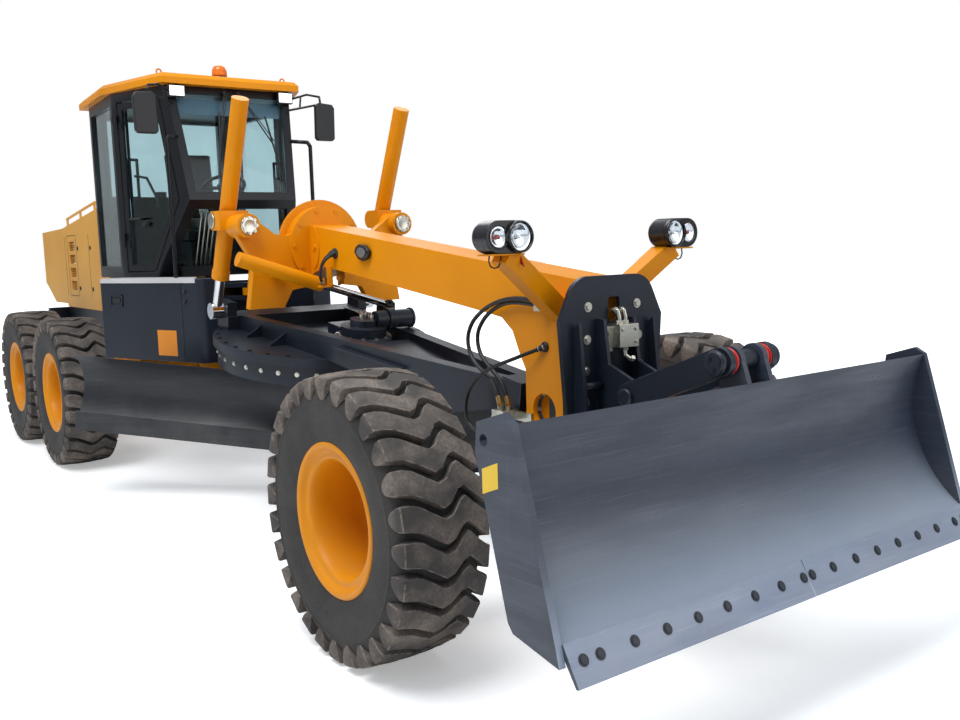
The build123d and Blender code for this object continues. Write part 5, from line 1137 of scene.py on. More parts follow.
@dataclass
class SaddleDress(Assembly):
    """Caps, bolts and small plates of the saddle and its cylinders.

    Attributes:
        boss: Front cap's place in millimetres.
        trunnion: Lift cylinder's pin in millimetres.
        lean: The lift cylinder's run forward and rise.
    """

    boss: Point = (-2328.0, 604.0, 2072.0)
    trunnion: Point = (-2671.0, 728.2, 2116.0)
    lean: tuple[float, float] = (296.0, 641.0)
    cap: Pairs = ((0.0, -0.003), (0.062, -0.003), (0.062, 0.010), (0.057, 0.015), (0.040, 0.016), (0.036, 0.013),
                  (0.0, 0.013))
    shield: Pairs = ((0.035, 0.0), (0.055, 0.0), (0.055, 0.008), (0.050, 0.012), (0.0, 0.012), (0.0, 0.009),
                     (0.035, 0.009))
    gland: Pairs = ((0.038, -0.006), (0.061, -0.006), (0.063, 0.0), (0.063, 0.050), (0.060, 0.056), (0.0576, 0.056),
                    (0.0576, 0.0), (0.038, 0.0))

    def make_caps(self) -> None:
        """Makes the chrome caps with their bolts."""
        ahead = Vector((1, 0, 0))
        caps, shields, bolts = Sketch("saddle_caps"), Sketch("trunnion_caps"), []
        for side in Side:
            caps.lathe(self.cap, side.at(*self.boss), ahead, 36)
            bolts += ring_of_bolts(side.at(*self.boss) + ahead * 0.015, ahead, 0.050, 8)
            shields.lathe(self.shield, side.at(*self.trunnion), side.out, 36)
        caps.finish("front_frame", "plated_fittings")
        set_bolts("saddle_cap_bolts", "front_frame", "plated_fittings", "", 0.0085, 0.007, bolts)
        shields.finish("front_frame", "plated_fittings")

    def make_drum(self) -> None:
        """Makes the drum's flange bolts, side doublers and small lugs."""
        set_bolts("drum_bolts", "front_frame", "yellow_paint", "", 0.012, 0.009,
                  ring_of_bolts(at(-2382, 0, 1928), (1, 0, 0), 0.252, 10, 0.31))
        plates = Sketch("beam_doublers")
        for side in Side:
            bends = [math.pi * (k / 16 - 0.5) for k in range(17)]
            plates.prism([side.at(-2330, 132, 1920) + Vector((0.10 * math.cos(a) * 0.9, 0, 0.150 * math.sin(a)))
                          for a in bends], side.out * 0.008)
        plates.finish("front_frame", "yellow_paint", bevel=0.0015)
        set_bolts("beam_pins", "front_frame", "yellow_paint", "", 0.017, 0.012,
                  [(side.at(*spot), side.out) for side in Side for spot in ((-2300, 140, 1915), (290, 132, 1590))])

    def make_glands(self) -> None:
        """Makes the cylinders' end rings and ports."""
        up = Vector((self.lean[0], 0, self.lean[1])) / math.hypot(*self.lean)
        for side in Side:
            rings = Sketch(f"lift_gland_{side.word}")
            foot = side.at(-2671, 622, 2116) - up * 0.435
            rings.lathe(self.gland, foot, up, 40)
            port = foot + up * 0.10 + Vector((-0.05, 0, 0.02))
            rings.rod(port, port + Vector((-0.035, 0, 0.004)), 0.014, steps=16)
            rings.finish(f"lift_tube_{side.word}", "yellow_paint", bevel=0.001)


# ---------------------------------------------------------------- drawbar and circle


@dataclass
class CircleDress(Assembly):
    """Bolts and drive details on the drawbar's plate and the turning ring.

    Attributes:
        middle: Forward distance and height of the plate's middle in millimetres.
        pitch: Slope of the plate.
        reach: Radius of the plate's circle of bolts.
        drive: Distance of the drive forward of the plate's middle.
    """

    middle: tuple[float, float] = (-2520.0, 1279.0)
    pitch: float = math.radians(8.2)
    reach: float = 745.0
    drive: float = 600.0
    lid: Pairs = ((0.0, 0.0), (0.196, 0.0), (0.198, 0.006), (0.194, 0.016), (0.160, 0.018), (0.156, 0.018),
                  (0.0, 0.018))

    def spot(self, i: float, j: float, k: float) -> Vector:
        """A point from distances forward, left and up of the plate's middle."""
        c, s = math.cos(self.pitch), math.sin(self.pitch)
        return at(self.middle[0] + i * c + k * s, j, self.middle[1] - i * s + k * c)

    @property
    def up(self) -> Vector:
        """Direction square to the plate."""
        return Vector((math.sin(self.pitch), 0, math.cos(self.pitch)))

    def around(self, count: int, radius: float, i: float = 0.0) -> Iterator[tuple[float, float]]:
        """Gives distances forward and left on a circle about a point ahead of the plate's middle."""
        return ((i + radius * math.cos(a), radius * math.sin(a)) for a in turns(count))

    def make_bolts(self) -> None:
        """Makes the bolts along the plate's edge, clear of the drive and the ball."""
        set_bolts("plate_bolts", "drawbar", "dark_paint", "", 0.013, 0.010,
                  [(self.spot(i, j, 0), self.up) for i, j in self.around(32, self.reach)
                   if (abs(i + 470) > 120 or abs(j) > 590) and not (i > 540 and abs(j) < 420)])
        c, s = math.cos(self.pitch), math.sin(self.pitch)
        set_bolts("ring_bolts", "circle", "dark_paint", "plated", 0.011, 0.009,
                  [(self.spot(745.2 * math.cos(a), 745.2 * math.sin(a), -120),
                    Vector((math.cos(a) * c, math.sin(a), -math.cos(a) * s))) for a in turns(36)])

    def make_drive(self) -> None:
        """Makes the drive's ribbed case, lid, bolts, motor and ports."""
        ribs, lid, motor, ports = (Sketch(f"drive_{part}") for part in ("ribs", "lid", "motor", "ports"))
        for i, j in self.around(14, 186, self.drive):
            ribs.rod(self.spot(i, j, 4), self.spot(i, j, 100), 0.012, 0.008, steps=8)
        ribs.finish("drawbar", "dark_paint", bevel=0.001)
        lid.lathe(self.lid, self.spot(self.drive, 0, 103.5), self.up, 48)
        lid.finish("drawbar", "dark_paint", bevel=0.0015)
        set_bolts("drive_bolts", "drawbar", "plated_fittings", "", 0.011, 0.009,
                  [(self.spot(i, j, 121), self.up) for i, j in self.around(12, 176, self.drive)])
        for near, far, radius in ((200, 336, 0.062), (336, 350, 0.070), (150, 205, 0.074)):
            motor.rod(self.spot(640, near, 224), self.spot(640, far, 224), radius, steps=28)
        motor.finish("drawbar", "dark_paint", bevel=0.003)
        for i, j in ((560.0, 40.0), (600.0, -20.0), (655.0, 30.0)):
            ports.rod(self.spot(i, j, 225), self.spot(i, j, 262), 0.013, steps=6)
            ports.rod(self.spot(i, j, 250), self.spot(i - 45, j + 12, 268), 0.010, steps=12)
        ports.finish("drawbar", "plated_fittings", bevel=0.0008)


# ---------------------------------------------------------------- hoses


@dataclass(frozen=True)
class Hose:
    """A hydraulic hose.

    Attributes:
        name: Name of the hose.
        radius: Radius in metres.
        length: Real length in metres; not used.
        node: Solid that it replaces, or none.
        sleeves: Lengths of the sleeves at its start and end, 0 for none.
        route: Points along it, in millimetres from the front axle.
    """

    name: str
    radius: float
    length: float
    node: str
    sleeves: tuple[float, float]
    route: Sequence[Point]

    def build(self) -> None:
        points = [at(*point) for point in self.route]
        curve = bpy.data.curves.new(f"{self.name}_hose", "CURVE")
        curve.dimensions, curve.use_fill_caps = "3D", True
        curve.bevel_depth, curve.bevel_resolution = self.radius, 5
        spline = curve.splines.new("NURBS")
        spline.points.add(len(points) - 1)
        for knot, point in zip(spline.points, points):
            knot.co = (*point, 1.0)
        spline.order_u, spline.use_endpoint_u, spline.resolution_u = 3, True, 8
        curve.materials.append(MATERIALS["hose"])
        obj = settle(link(curve.name, curve), "front_frame", "hose_rubber", (self.node,) if self.node else ())
        tuple(points[0])


@dataclass
class HoseSet(Assembly):
    """The hoses beside the leg and at the beam's side, with their sleeves and rubber boots.

    Attributes:
        sleeve_wall: How much wider a sleeve is than its hose, in metres.
        nut_wall: The same for the nut on its end.
        nut_back: Length of the nut in front of the hose's end, in metres.
        nut_ahead: Length of the nut over the hose.
        leg_face: Distance outward of the leg's side in metres.
        boots: For each boot its hose's number, its lengths behind and past the hose's start, its two radii and
            its facets.
    """

    hoses: Sequence[Hose] = (
        Hose("upper_loop", 0.011, 1.134, "hose_upper", (0.03, 0.05), (
            (170, -176, 1618), (75, -176, 1625), (-21, -177, 1624), (-117, -178, 1611), (-209, -181, 1583),
            (-295, -185, 1542), (-371, -190, 1483), (-410, -196, 1397), (-378, -201, 1308), (-304, -205, 1248),
            (-215, -206, 1212), (-141, -207, 1152), (-112, -206, 1062))),
        Hose("lower_loop", 0.011, 1.057, "hose_lower", (0.03, 0.05), (
            (170, -150, 1590), (73, -154, 1598), (-25, -156, 1603), (-122, -159, 1593), (-214, -162, 1559),
            (-295, -166, 1504), (-351, -171, 1425), (-335, -175, 1332), (-263, -178, 1266), (-178, -180, 1218),
            (-104, -180, 1154), (-78, -180, 1062))),
        Hose("leg_loop", 0.010, 1.022, "hose_leg", (0.0, 0.04), (
            (148, -152, 1372), (76, -186, 1343), (-1, -206, 1313), (-86, -221, 1284), (-171, -230, 1252),
            (-251, -236, 1209), (-321, -239, 1152), (-370, -241, 1080), (-385, -241, 996), (-350, -237, 922),
            (-272, -230, 900), (-200, -220, 942), (-152, -210, 1010))),
        Hose("beam_outer", 0.0095, 0.257, "", (0.0, 0.035), (
            (-2014, -160, 1874), (-2026, -196, 1850), (-2052, -214, 1804), (-2084, -216, 1752),
            (-2108, -202, 1706), (-2118, -180, 1668))),
        Hose("beam_inner", 0.0095, 0.261, "", (0.0, 0.035), (
            (-2002, -160, 1862), (-2008, -206, 1838), (-2024, -232, 1790), (-2050, -236, 1736),
            (-2074, -220, 1690), (-2084, -194, 1658))),
    )
    sleeve_wall: float = 0.0045
    nut_wall: float = 0.0075
    nut_back: float = 0.004
    nut_ahead: float = 0.014
    leg_face: float = 0.1323
    boots: Sequence[tuple[int, float, float, float, float, int]] = (
        (3, 0.035, 0.02, 0.018, 0.013, 20), (4, 0.035, 0.02, 0.018, 0.013, 20),
        (2, 0.026, 0.012, 0.0175, 0.0130, 24),
    )
    beam_flange: Pairs = ((0.0, 0.0), (0.036, 0.0), (0.036, 0.006), (0.030, 0.012), (0.0, 0.014))
    leg_flange: Pairs = ((0.0, 0.0), (0.027, 0.0), (0.027, 0.007), (0.021, 0.014), (0.0, 0.016))

    def make_hoses(self) -> None:
        """Makes the hoses with their pressed sleeves and nuts."""
        sleeves = Sketch("hose_sleeves")
        for hose in self.hoses:
            hose.build()
            for length, end, before in zip(hose.sleeves, (0, -1), (1, -2)):
                if length:
                    tip = at(*hose.route[end])
                    back = (at(*hose.route[before]) - tip).normalized()
                    sleeves.rod(tip, tip + back * length, hose.radius + self.sleeve_wall, steps=24)
                    sleeves.rod(tip - back * self.nut_back, tip + back * self.nut_ahead, hose.radius + self.nut_wall,
                                steps=6)
        sleeves.finish("front_frame", "plated_fittings", "brass", 0.0006)

    def make_boots(self) -> None:
        """Makes the rubber boots where hoses leave the beam and the leg, and the beam's hose plate."""
        boots, plate = Sketch("hose_boots"), Sketch("hose_plate")
        for number, back, ahead, radius, tip, steps in self.boots:
            route = self.hoses[number].route
            start = at(*route[0])
            out = (at(*route[1]) - start).normalized()
            boots.rod(start - out * back, start + out * ahead, radius, tip, steps=steps)
        root = start - out * 0.034
        down = Vector((0, -1, 0))
        boots.lathe(self.beam_flange, at(-2008, -132, 1868), down, 28)
        boots.lathe(self.leg_flange, Vector((root.x, -self.leg_face, root.z)), down, 28)
        boots.finish("front_frame", "hose_rubber", "trim", 0.001)
        plate.box(at(-2136, -214, 1640), at(-2066, -130, 1652))
        plate.box(at(-2136, -142, 1640), at(-2066, -130, 1780))
        plate.finish("front_frame", "yellow_paint", bevel=0.0015)


# ---------------------------------------------------------------- lamps


@dataclass
class Lamps(Assembly):
    """Glass, reflectors and brackets of the front lamps, the roof lamps and the beacon.

    Attributes:
        floor: Forward distance and height of the wells' floor in millimetres.
        wells: For each lamp its distance outward and the sections of bowl, lens and bezel with their facets.
        base: Section of the beacon's base.
        dome: Section of the beacon's dome.
        drop: Outline of the beam's side lamps in millimetres.
        loop: Corners of the lamps' wire loops as distance outward and height.
    """

    floor: tuple[float, float] = (438.0, 1932.0)
    wells: Sequence[tuple[float, Sequence[tuple[int, Pairs]]]] = (
        (504.0, ((44, ((0.0, 0.002), (0.012, 0.0025), (0.030, 0.006), (0.0485, 0.0125), (0.0605, 0.024),
                       (0.0605, 0.0125), (0.048, 0.011), (0.048, 0.0), (0.0, 0.0))),
                 (44, ((0.0, 0.031), (0.025, 0.030), (0.045, 0.0275), (0.060, 0.024), (0.060, 0.022),
                       (0.045, 0.0255), (0.025, 0.028), (0.0, 0.029))),
                 (48, ((0.0600, 0.0125), (0.0605, 0.028), (0.0635, 0.036), (0.068, 0.037), (0.0725, 0.030),
                       (0.0735, 0.0125))))),
        (616.0, ((40, ((0.0, 0.001), (0.010, 0.0012), (0.022, 0.0025), (0.036, 0.0065), (0.0485, 0.0135),
                       (0.0485, 0.0), (0.0, 0.0))),
                 (40, ((0.0, 0.0195), (0.020, 0.0188), (0.036, 0.0165), (0.047, 0.0135), (0.047, 0.0118),
                       (0.036, 0.0148), (0.020, 0.0171), (0.0, 0.0178))),
                 (44, ((0.0475, 0.010), (0.0485, 0.0155), (0.051, 0.0165), (0.054, 0.015), (0.055, 0.010))))),
    )
    base: Pairs = ((0.0, 0.0), (0.074, 0.0), (0.074, 0.010), (0.066, 0.032), (0.064, 0.040), (0.0, 0.040))
    dome: Pairs = ((0.0, 0.040), (0.063, 0.040), (0.064, 0.054), (0.062, 0.056), (0.0625, 0.074), (0.060, 0.076),
                   (0.060, 0.094), (0.057, 0.098), (0.052, 0.114), (0.040, 0.127), (0.020, 0.1335), (0.0, 0.134))
    drop: Pairs = ((-92, 10), (-70, 44), (-30, 60), (40, 52), (84, 22), (92, -6), (60, -36), (10, -50), (-46, -36))
    loop: Pairs = ((628, 1851), (632, 1826), (622, 1802), (600, 1794), (578, 1800), (566, 1822), (563, 1850))

    def make_front(self) -> None:
        """Makes the front lamps' wells, lenses and bezels."""
        bowls, glass, bezels, bulbs = (Sketch(f"lamp_{part}") for part in ("bowls", "glass", "bezels", "bulbs"))
        ahead = Vector((1, 0, 0))
        for side in Side:
            for (y, sections), (bulb, lift, radius) in zip(self.wells, ((bowls, 0.010, 0.009), (bulbs, 0.006, 0.010))):
                floor = side.at(self.floor[0], y, self.floor[1])
                for sketch, (steps, section) in zip((bowls, glass, bezels), sections):
                    sketch.lathe(section, floor, ahead, steps)
                bulb.ball(floor + ahead * lift, radius, 12)
        for sketch, look in ((bulbs, "red"), (bowls, "mirror"), (glass, "lens"), (bezels, "housing")):
            sketch.finish("front_frame", "lamp_plastic", look)

    def make_brackets(self) -> None:
        """Makes the plates on the arms, their wire loops and the red reflector."""
        plates, wires, reflectors = Sketch("lamp_plates"), Sketch("lamp_wires"), Sketch("arm_reflectors")
        for side in Side:
            plates.box(side.at(335, 468, 1850), side.at(447, 655, 1858))
            for start, end in zip(self.loop, self.loop[1:]):
                wires.rod(side.at(392, *start), side.at(392, *end), 0.0035, steps=8)
        reflectors.prism([at(402, -470, 1886), at(447, -470, 1795), at(402, -470, 1818)], (0, -0.004, 0))
        plates.finish("front_frame", "yellow_paint", bevel=0.002)
        wires.finish("front_frame", "dark_plastic", "trim")
        reflectors.finish("front_frame", "lamp_plastic", "red")

    def make_roof(self) -> None:
        """Makes the roof lamps, the lifting eyes and the beacon."""
        cases, glass, bowls = (Sketch(f"roof_lamp_{part}") for part in ("cases", "glass", "bowls"))
        eyes, base, dome = Sketch("roof_eyes"), Sketch("beacon_base"), Sketch("beacon_dome")
        up = Vector((0, 0, 1))
        for side in Side:
            cases.box(side.at(-3984, 402, 3148), side.at(-3936, 538, 3243))
            cases.box(side.at(-3970, 458, 3240), side.at(-3950, 482, 3249))
            bowls.box(side.at(-3937, 411, 3157), side.at(-3932, 529, 3234))
            glass.box(side.at(-3932, 409, 3155), side.at(-3926, 531, 3236))
            foot = side.at(-4130, 540, 3334)
            eyes.rod(foot, foot + up * 0.012, 0.022, steps=24)
            spots = [foot + up * 0.034 + Vector((0, 0.020 * math.cos(a), 0.020 * math.sin(a))) for a in turns(16)]
            for start, end in zip(spots, spots[1:] + spots[:1]):
                eyes.rod(start, end, 0.0065, steps=10)
        cases.finish("chassis", "lamp_plastic", bevel=0.008, nodes=("roof_lamps",))
        bowls.finish("chassis", "lamp_plastic", "mirror", 0.001)
        glass.finish("chassis", "lamp_plastic", "lens", 0.002)
        base.lathe(self.base, at(-4200, 0, 3336.5), up)
        base.finish("chassis", "lamp_plastic")
        dome.lathe(self.dome, at(-4200, 0, 3336.5), up)
        dome.finish("chassis", "lamp_plastic", "beacon")
        eyes.finish("chassis", "yellow_paint")

    def make_side(self) -> None:
        """Makes the small side lamps on the beam and the plate that shows through the leg's window."""
        cases, glass, plate = Sketch("side_lamp_cases"), Sketch("side_lamp_glass"), Sketch("leg_window_plate")
        for side in Side:
            cases.prism([side.at(-1604 + x, 132, 1866 + z) for x, z in self.drop], side.out * 0.034)
            glass.prism([side.at(-1598 + 0.62 * x, 165, 1868 + 0.62 * z) for x, z in self.drop], side.out * 0.006)
        cases.finish("front_frame", "lamp_plastic", bevel=0.012, segments=3)
        glass.finish("front_frame", "lamp_plastic", "grey glass", 0.002)
        plate.lathe(((0.0, 0.0), (0.0878, 0.0), (0.0878, 0.006), (0.0, 0.006)), at(156, -78, 1055), Side.LEFT.out)
        plate.finish("front_frame", "yellow_paint")


# ---------------------------------------------------------------- cab


@dataclass
class CabDress(Assembly):
    """Handles, wipers, mirrors and the controls in the cab; places are in millimetres.

    Attributes:
        corner: Rear corner of the door's outer face, as forward distance and distance outward.
        slope: How fast the door's face moves outward towards the rear.
        nose: Foot of the windscreen's outer face, as forward distance and height.
        brow: Its top.
        grip: Corners of the door's outer handle: forward distance, height and metres out of the door's face.
        bar: Corners of the door's inner handle.
        brace: Corners of the door's inner grab bar.
        wipers: For each wiper its hub, arm's end, blade's foot and blade's tip across the windscreen.
        arms: Radius and corners of each mirror's tubes.
        shell: Outline of the mirrors' shells.
        hub_z: Height of the wipers' hubs.
        mirror: Forward distance of the shell and of its face, and their middle outward and up.
    """

    corner: tuple[float, float] = (-4674.0, 780.0)
    slope: float = 0.37
    nose: tuple[float, float] = (-3819.0, 2325.0)
    brow: tuple[float, float] = (-4010.0, 3250.0)
    grip: Sequence[Point] = ((-4500, 2200, 0.004), (-4500, 2200, 0.034), (-4380, 2200, 0.034), (-4380, 2200, 0.004))
    bar: Sequence[Point] = ((-4560, 2700, -0.066), (-4560, 2700, -0.100), (-4545, 2700, -0.115),
                            (-4545, 2380, -0.115), (-4560, 2380, -0.100), (-4560, 2380, -0.066))
    brace: Sequence[Point] = ((-4525, 2560, -0.068), (-4525, 2560, -0.095), (-4430, 2540, -0.11),
                              (-4300, 2330, -0.11), (-4280, 2300, -0.068))
    wipers: Sequence[Sequence[float]] = ((60, 318, 2780, 372, 2480, 280, 3030),
                                         (-60, -150, 2790, -190, 2500, -120, 3040))
    arms: Sequence[tuple[float, Sequence[Point]]] = (
        (0.0165, ((-3810, 620, 1701), (-3810, 620, 2780), (-3822, 602, 2815), (-3925, 500, 2830))),
        (0.0095, ((-3960, 510, 3185), (-3870, 640, 3225), (-3822, 735, 3205), (-3822, 745, 3130))),
        (0.0095, ((-3950, 505, 3095), (-3830, 700, 3135))),
        (0.0080, ((-3900, 598, 3215), (-3900, 585, 3112))),
    )
    shell: Pairs = ((-78, -160), (64, -160), (84, -140), (90, 120), (70, 152), (-60, 162), (-90, 140), (-96, -136))
    hub_z: float = 3205.0
    mirror: Sequence[float] = (-3842, -3846, 775, 2992)

    def door_spot(self, x: float, z: float, out: float) -> Vector:
        """A point on the left door's outer face, pushed out by a distance in metres."""
        run = math.hypot(1, self.slope)
        return at(x, self.corner[1] - self.slope * (x - self.corner[0]), z) + Vector(
            (self.slope / run, 1 / run, 0)) * out

    def front_spot(self, y: float, z: float, out: float) -> Vector:
        """A point on the windscreen's outer face, pushed out by a distance in metres."""
        run, rise = self.brow[0] - self.nose[0], self.brow[1] - self.nose[1]
        normal = Vector((rise, 0, -run)) / math.hypot(run, rise)
        return at(self.nose[0] + run * (z - self.nose[1]) / rise, y, z) + normal * out

    def make_doors(self) -> None:
        """Makes the doors' handles and inner bars."""
        for side in Side:
            sketch = Sketch(f"door_handle_{side.word}")
            for corners, radius in ((self.grip, 0.009), (self.bar, 0.0125), (self.brace, 0.011)):
                sketch.tube([self.door_spot(*corner) for corner in corners], radius)
            sketch.rod(self.door_spot(-4360, 2150, 0.0), self.door_spot(-4360, 2150, 0.012), 0.020, steps=24)
            sketch.mirror(side)
            sketch.finish(f"door_{side.word}", "dark_plastic", "trim", 0.001)

    def make_wipers(self) -> None:
        """Makes the two windscreen wipers."""
        sketch = Sketch("wipers")
        for y, far_y, far_z, low_y, low_z, top_y, top_z in self.wipers:
            sketch.rod(self.front_spot(y, self.hub_z, 0.004), self.front_spot(y, self.hub_z, 0.040), 0.016, steps=16)
            sketch.rod(self.front_spot(y, self.hub_z, 0.034), self.front_spot(far_y, far_z, 0.030), 0.006, steps=10)
            sketch.rod(self.front_spot(y + 20, self.hub_z - 15, 0.034),
                       self.front_spot(far_y + 14, far_z + 30, 0.030), 0.004, steps=8)
            sketch.tube([self.front_spot(top_y, top_z, 0.014), self.front_spot(far_y, far_z, 0.020),
                         self.front_spot(low_y, low_z, 0.014)], 0.008, 8)
        sketch.finish("chassis", "dark_plastic", "trim")

    def make_visor(self) -> None:
        """Makes the plain tinted band inside the top of the windscreen."""
        band = Sketch("windscreen_band")
        band.prism([self.front_spot(y, z, -0.062) for y, z in ((-445, 3040), (445, 3040), (458, 3165), (-458, 3165))],
                   self.front_spot(0, 3000, 0.0) - self.front_spot(0, 3000, 0.002))
        band.finish("chassis", "dark_plastic", "blue band")

    def make_mirrors(self) -> None:
        """Makes the mirrors' rounded shells, silvered faces, arms and the rails from the steps."""
        tubes, shells, faces = (Sketch(f"mirror_{part}") for part in ("tubes", "shells", "faces"))
        shell_x, face_x, y0, z0 = self.mirror
        for side in Side:
            for radius, corners in self.arms:
                tubes.tube([side.at(*corner) for corner in corners], radius)
            shells.prism([side.at(shell_x, y0 + y, z0 + z) for y, z in self.shell], (0.048, 0, 0))
            faces.prism([side.at(face_x, y0 + y * 0.9, z0 + z * 0.93) for y, z in self.shell], (0.006, 0, 0))
        tubes.finish("chassis", "dark_paint", "cab", nodes=("mirrors",))
        shells.finish("chassis", "dark_plastic", bevel=0.018, segments=4)
        faces.finish("chassis", "dark_plastic", "mirror")

    def make_controls(self) -> None:
        """Makes the levers on their pods."""
        sticks, knobs, pods = (Sketch(f"lever_{part}") for part in ("sticks", "knobs", "pods"))
        for side in Side:
            for k in range(5):
                foot = side.at(-4380 + 12 * k, 100 + 22 * k, 2190)
                head = foot + Vector((-0.03, side.value * 0.01, 0.16 + 0.01 * (k % 2)))
                sticks.rod(foot, head, 0.005, steps=10)
                knobs.ball(head, 0.014, 14)
            pods.box(side.at(-4420, 75, 2120), side.at(-4290, 215, 2192))
            pods.rod(side.at(-4350, 140, 1765), side.at(-4350, 140, 2125), 0.022, steps=16)
        sticks.finish("chassis", "dark_plastic", "chrome")
        knobs.finish("chassis", "dark_plastic", "trim")
        pods.finish("chassis", "dark_plastic", bevel=0.012)

    def make_front_rods(self) -> None:
        """Makes the guard rods behind the lower front window."""
        rods = Sketch("front_guard_rods")
        for y in range(-330, -102, 38):
            rods.rod(at(-4140, y, 1800), at(-3925, y, 2240), 0.006, steps=10)
        rods.finish("chassis", "plated_fittings")


@dataclass
class DriverSeat(Assembly):
    """Padded seat on its pedestal.

    Attributes:
        floor: Height of the cab's floor in millimetres.
        swell: Farthest that the stuffing pushes a pad's skin, in metres.
        frames: Number of steps of the stuffing.
        pressure: Force of the stuffing.
        fill: How full the pads are, from 0 to 1; not used.
        pads: Side outline of each pad above the floor, with its half width, in millimetres.
    """

    floor: float = 1760.0
    swell: float = 0.014
    frames: int = 20
    pressure: float = 4.0
    fill: float = 0.75
    pads: Sequence[tuple[str, float, Pairs]] = (
        ("seat_cushion", 234, ((-5064, 346), (-4616, 346), (-4616, 428), (-4660, 436), (-5064, 428))),
        ("seat_back", 222, ((-5062, 440), (-4978, 440), (-5072, 1058), (-5152, 1058))),
    )

    def stuff(self, obj: bpy.types.Object) -> bpy.types.Object:
        """Swells a pad under pressure and gives it back."""
        cloth = modify(obj, "CLOTH").settings
        cloth.use_pressure = True
        cloth.uniform_pressure_force = self.pressure
        cloth.effector_weights.gravity = 0.0
        for number in range(1, self.frames + 1):
            bpy.context.scene.frame_set(number)
        obj = apply_modifiers(obj)
        bpy.context.scene.frame_set(1)
        return obj

    def make_pads(self) -> None:
        """Makes the cushion and the back."""
        for name, half, outline in self.pads:
            sketch = Sketch(name)
            sketch.prism([at(x, -half, self.floor + z) for x, z in outline], (0, 2 * half / 1000, 0))
            obj = link(name, sketch.mesh())
            modify(obj, "BEVEL", width=0.022, segments=3)
            modify(obj, "REMESH", mode="VOXEL", voxel_size=0.012)
            obj = apply_modifiers(obj)
            rest = [vertex.co.copy() for vertex in obj.data.vertices]
            obj = self.stuff(obj)
            for vertex, start in zip(obj.data.vertices, rest):
                move = vertex.co - start
                if move.length > self.swell:
                    vertex.co = start + move.normalized() * self.swell
            modify(obj, "SMOOTH", iterations=3)
            obj = apply_modifiers(obj)
            obj.data.materials.clear()
            obj.data.materials.append(MATERIALS["seat"])
            obj.data.shade_smooth()
            settle(obj, "chassis", "seat_cloth", ("seat",))

    def make_base(self) -> None:
        """Makes the pedestal."""
        base = Sketch("seat_base")
        base.box(at(-4975, -155, self.floor + 2), at(-4725, 155, self.floor + 250))
        base.box(at(-5030, -200, self.floor + 250), at(-4660, 200, self.floor + 330))
        base.finish("chassis", "dark_plastic", bevel=0.010, nodes=("seat",))


# ---------------------------------------------------------------- rear body


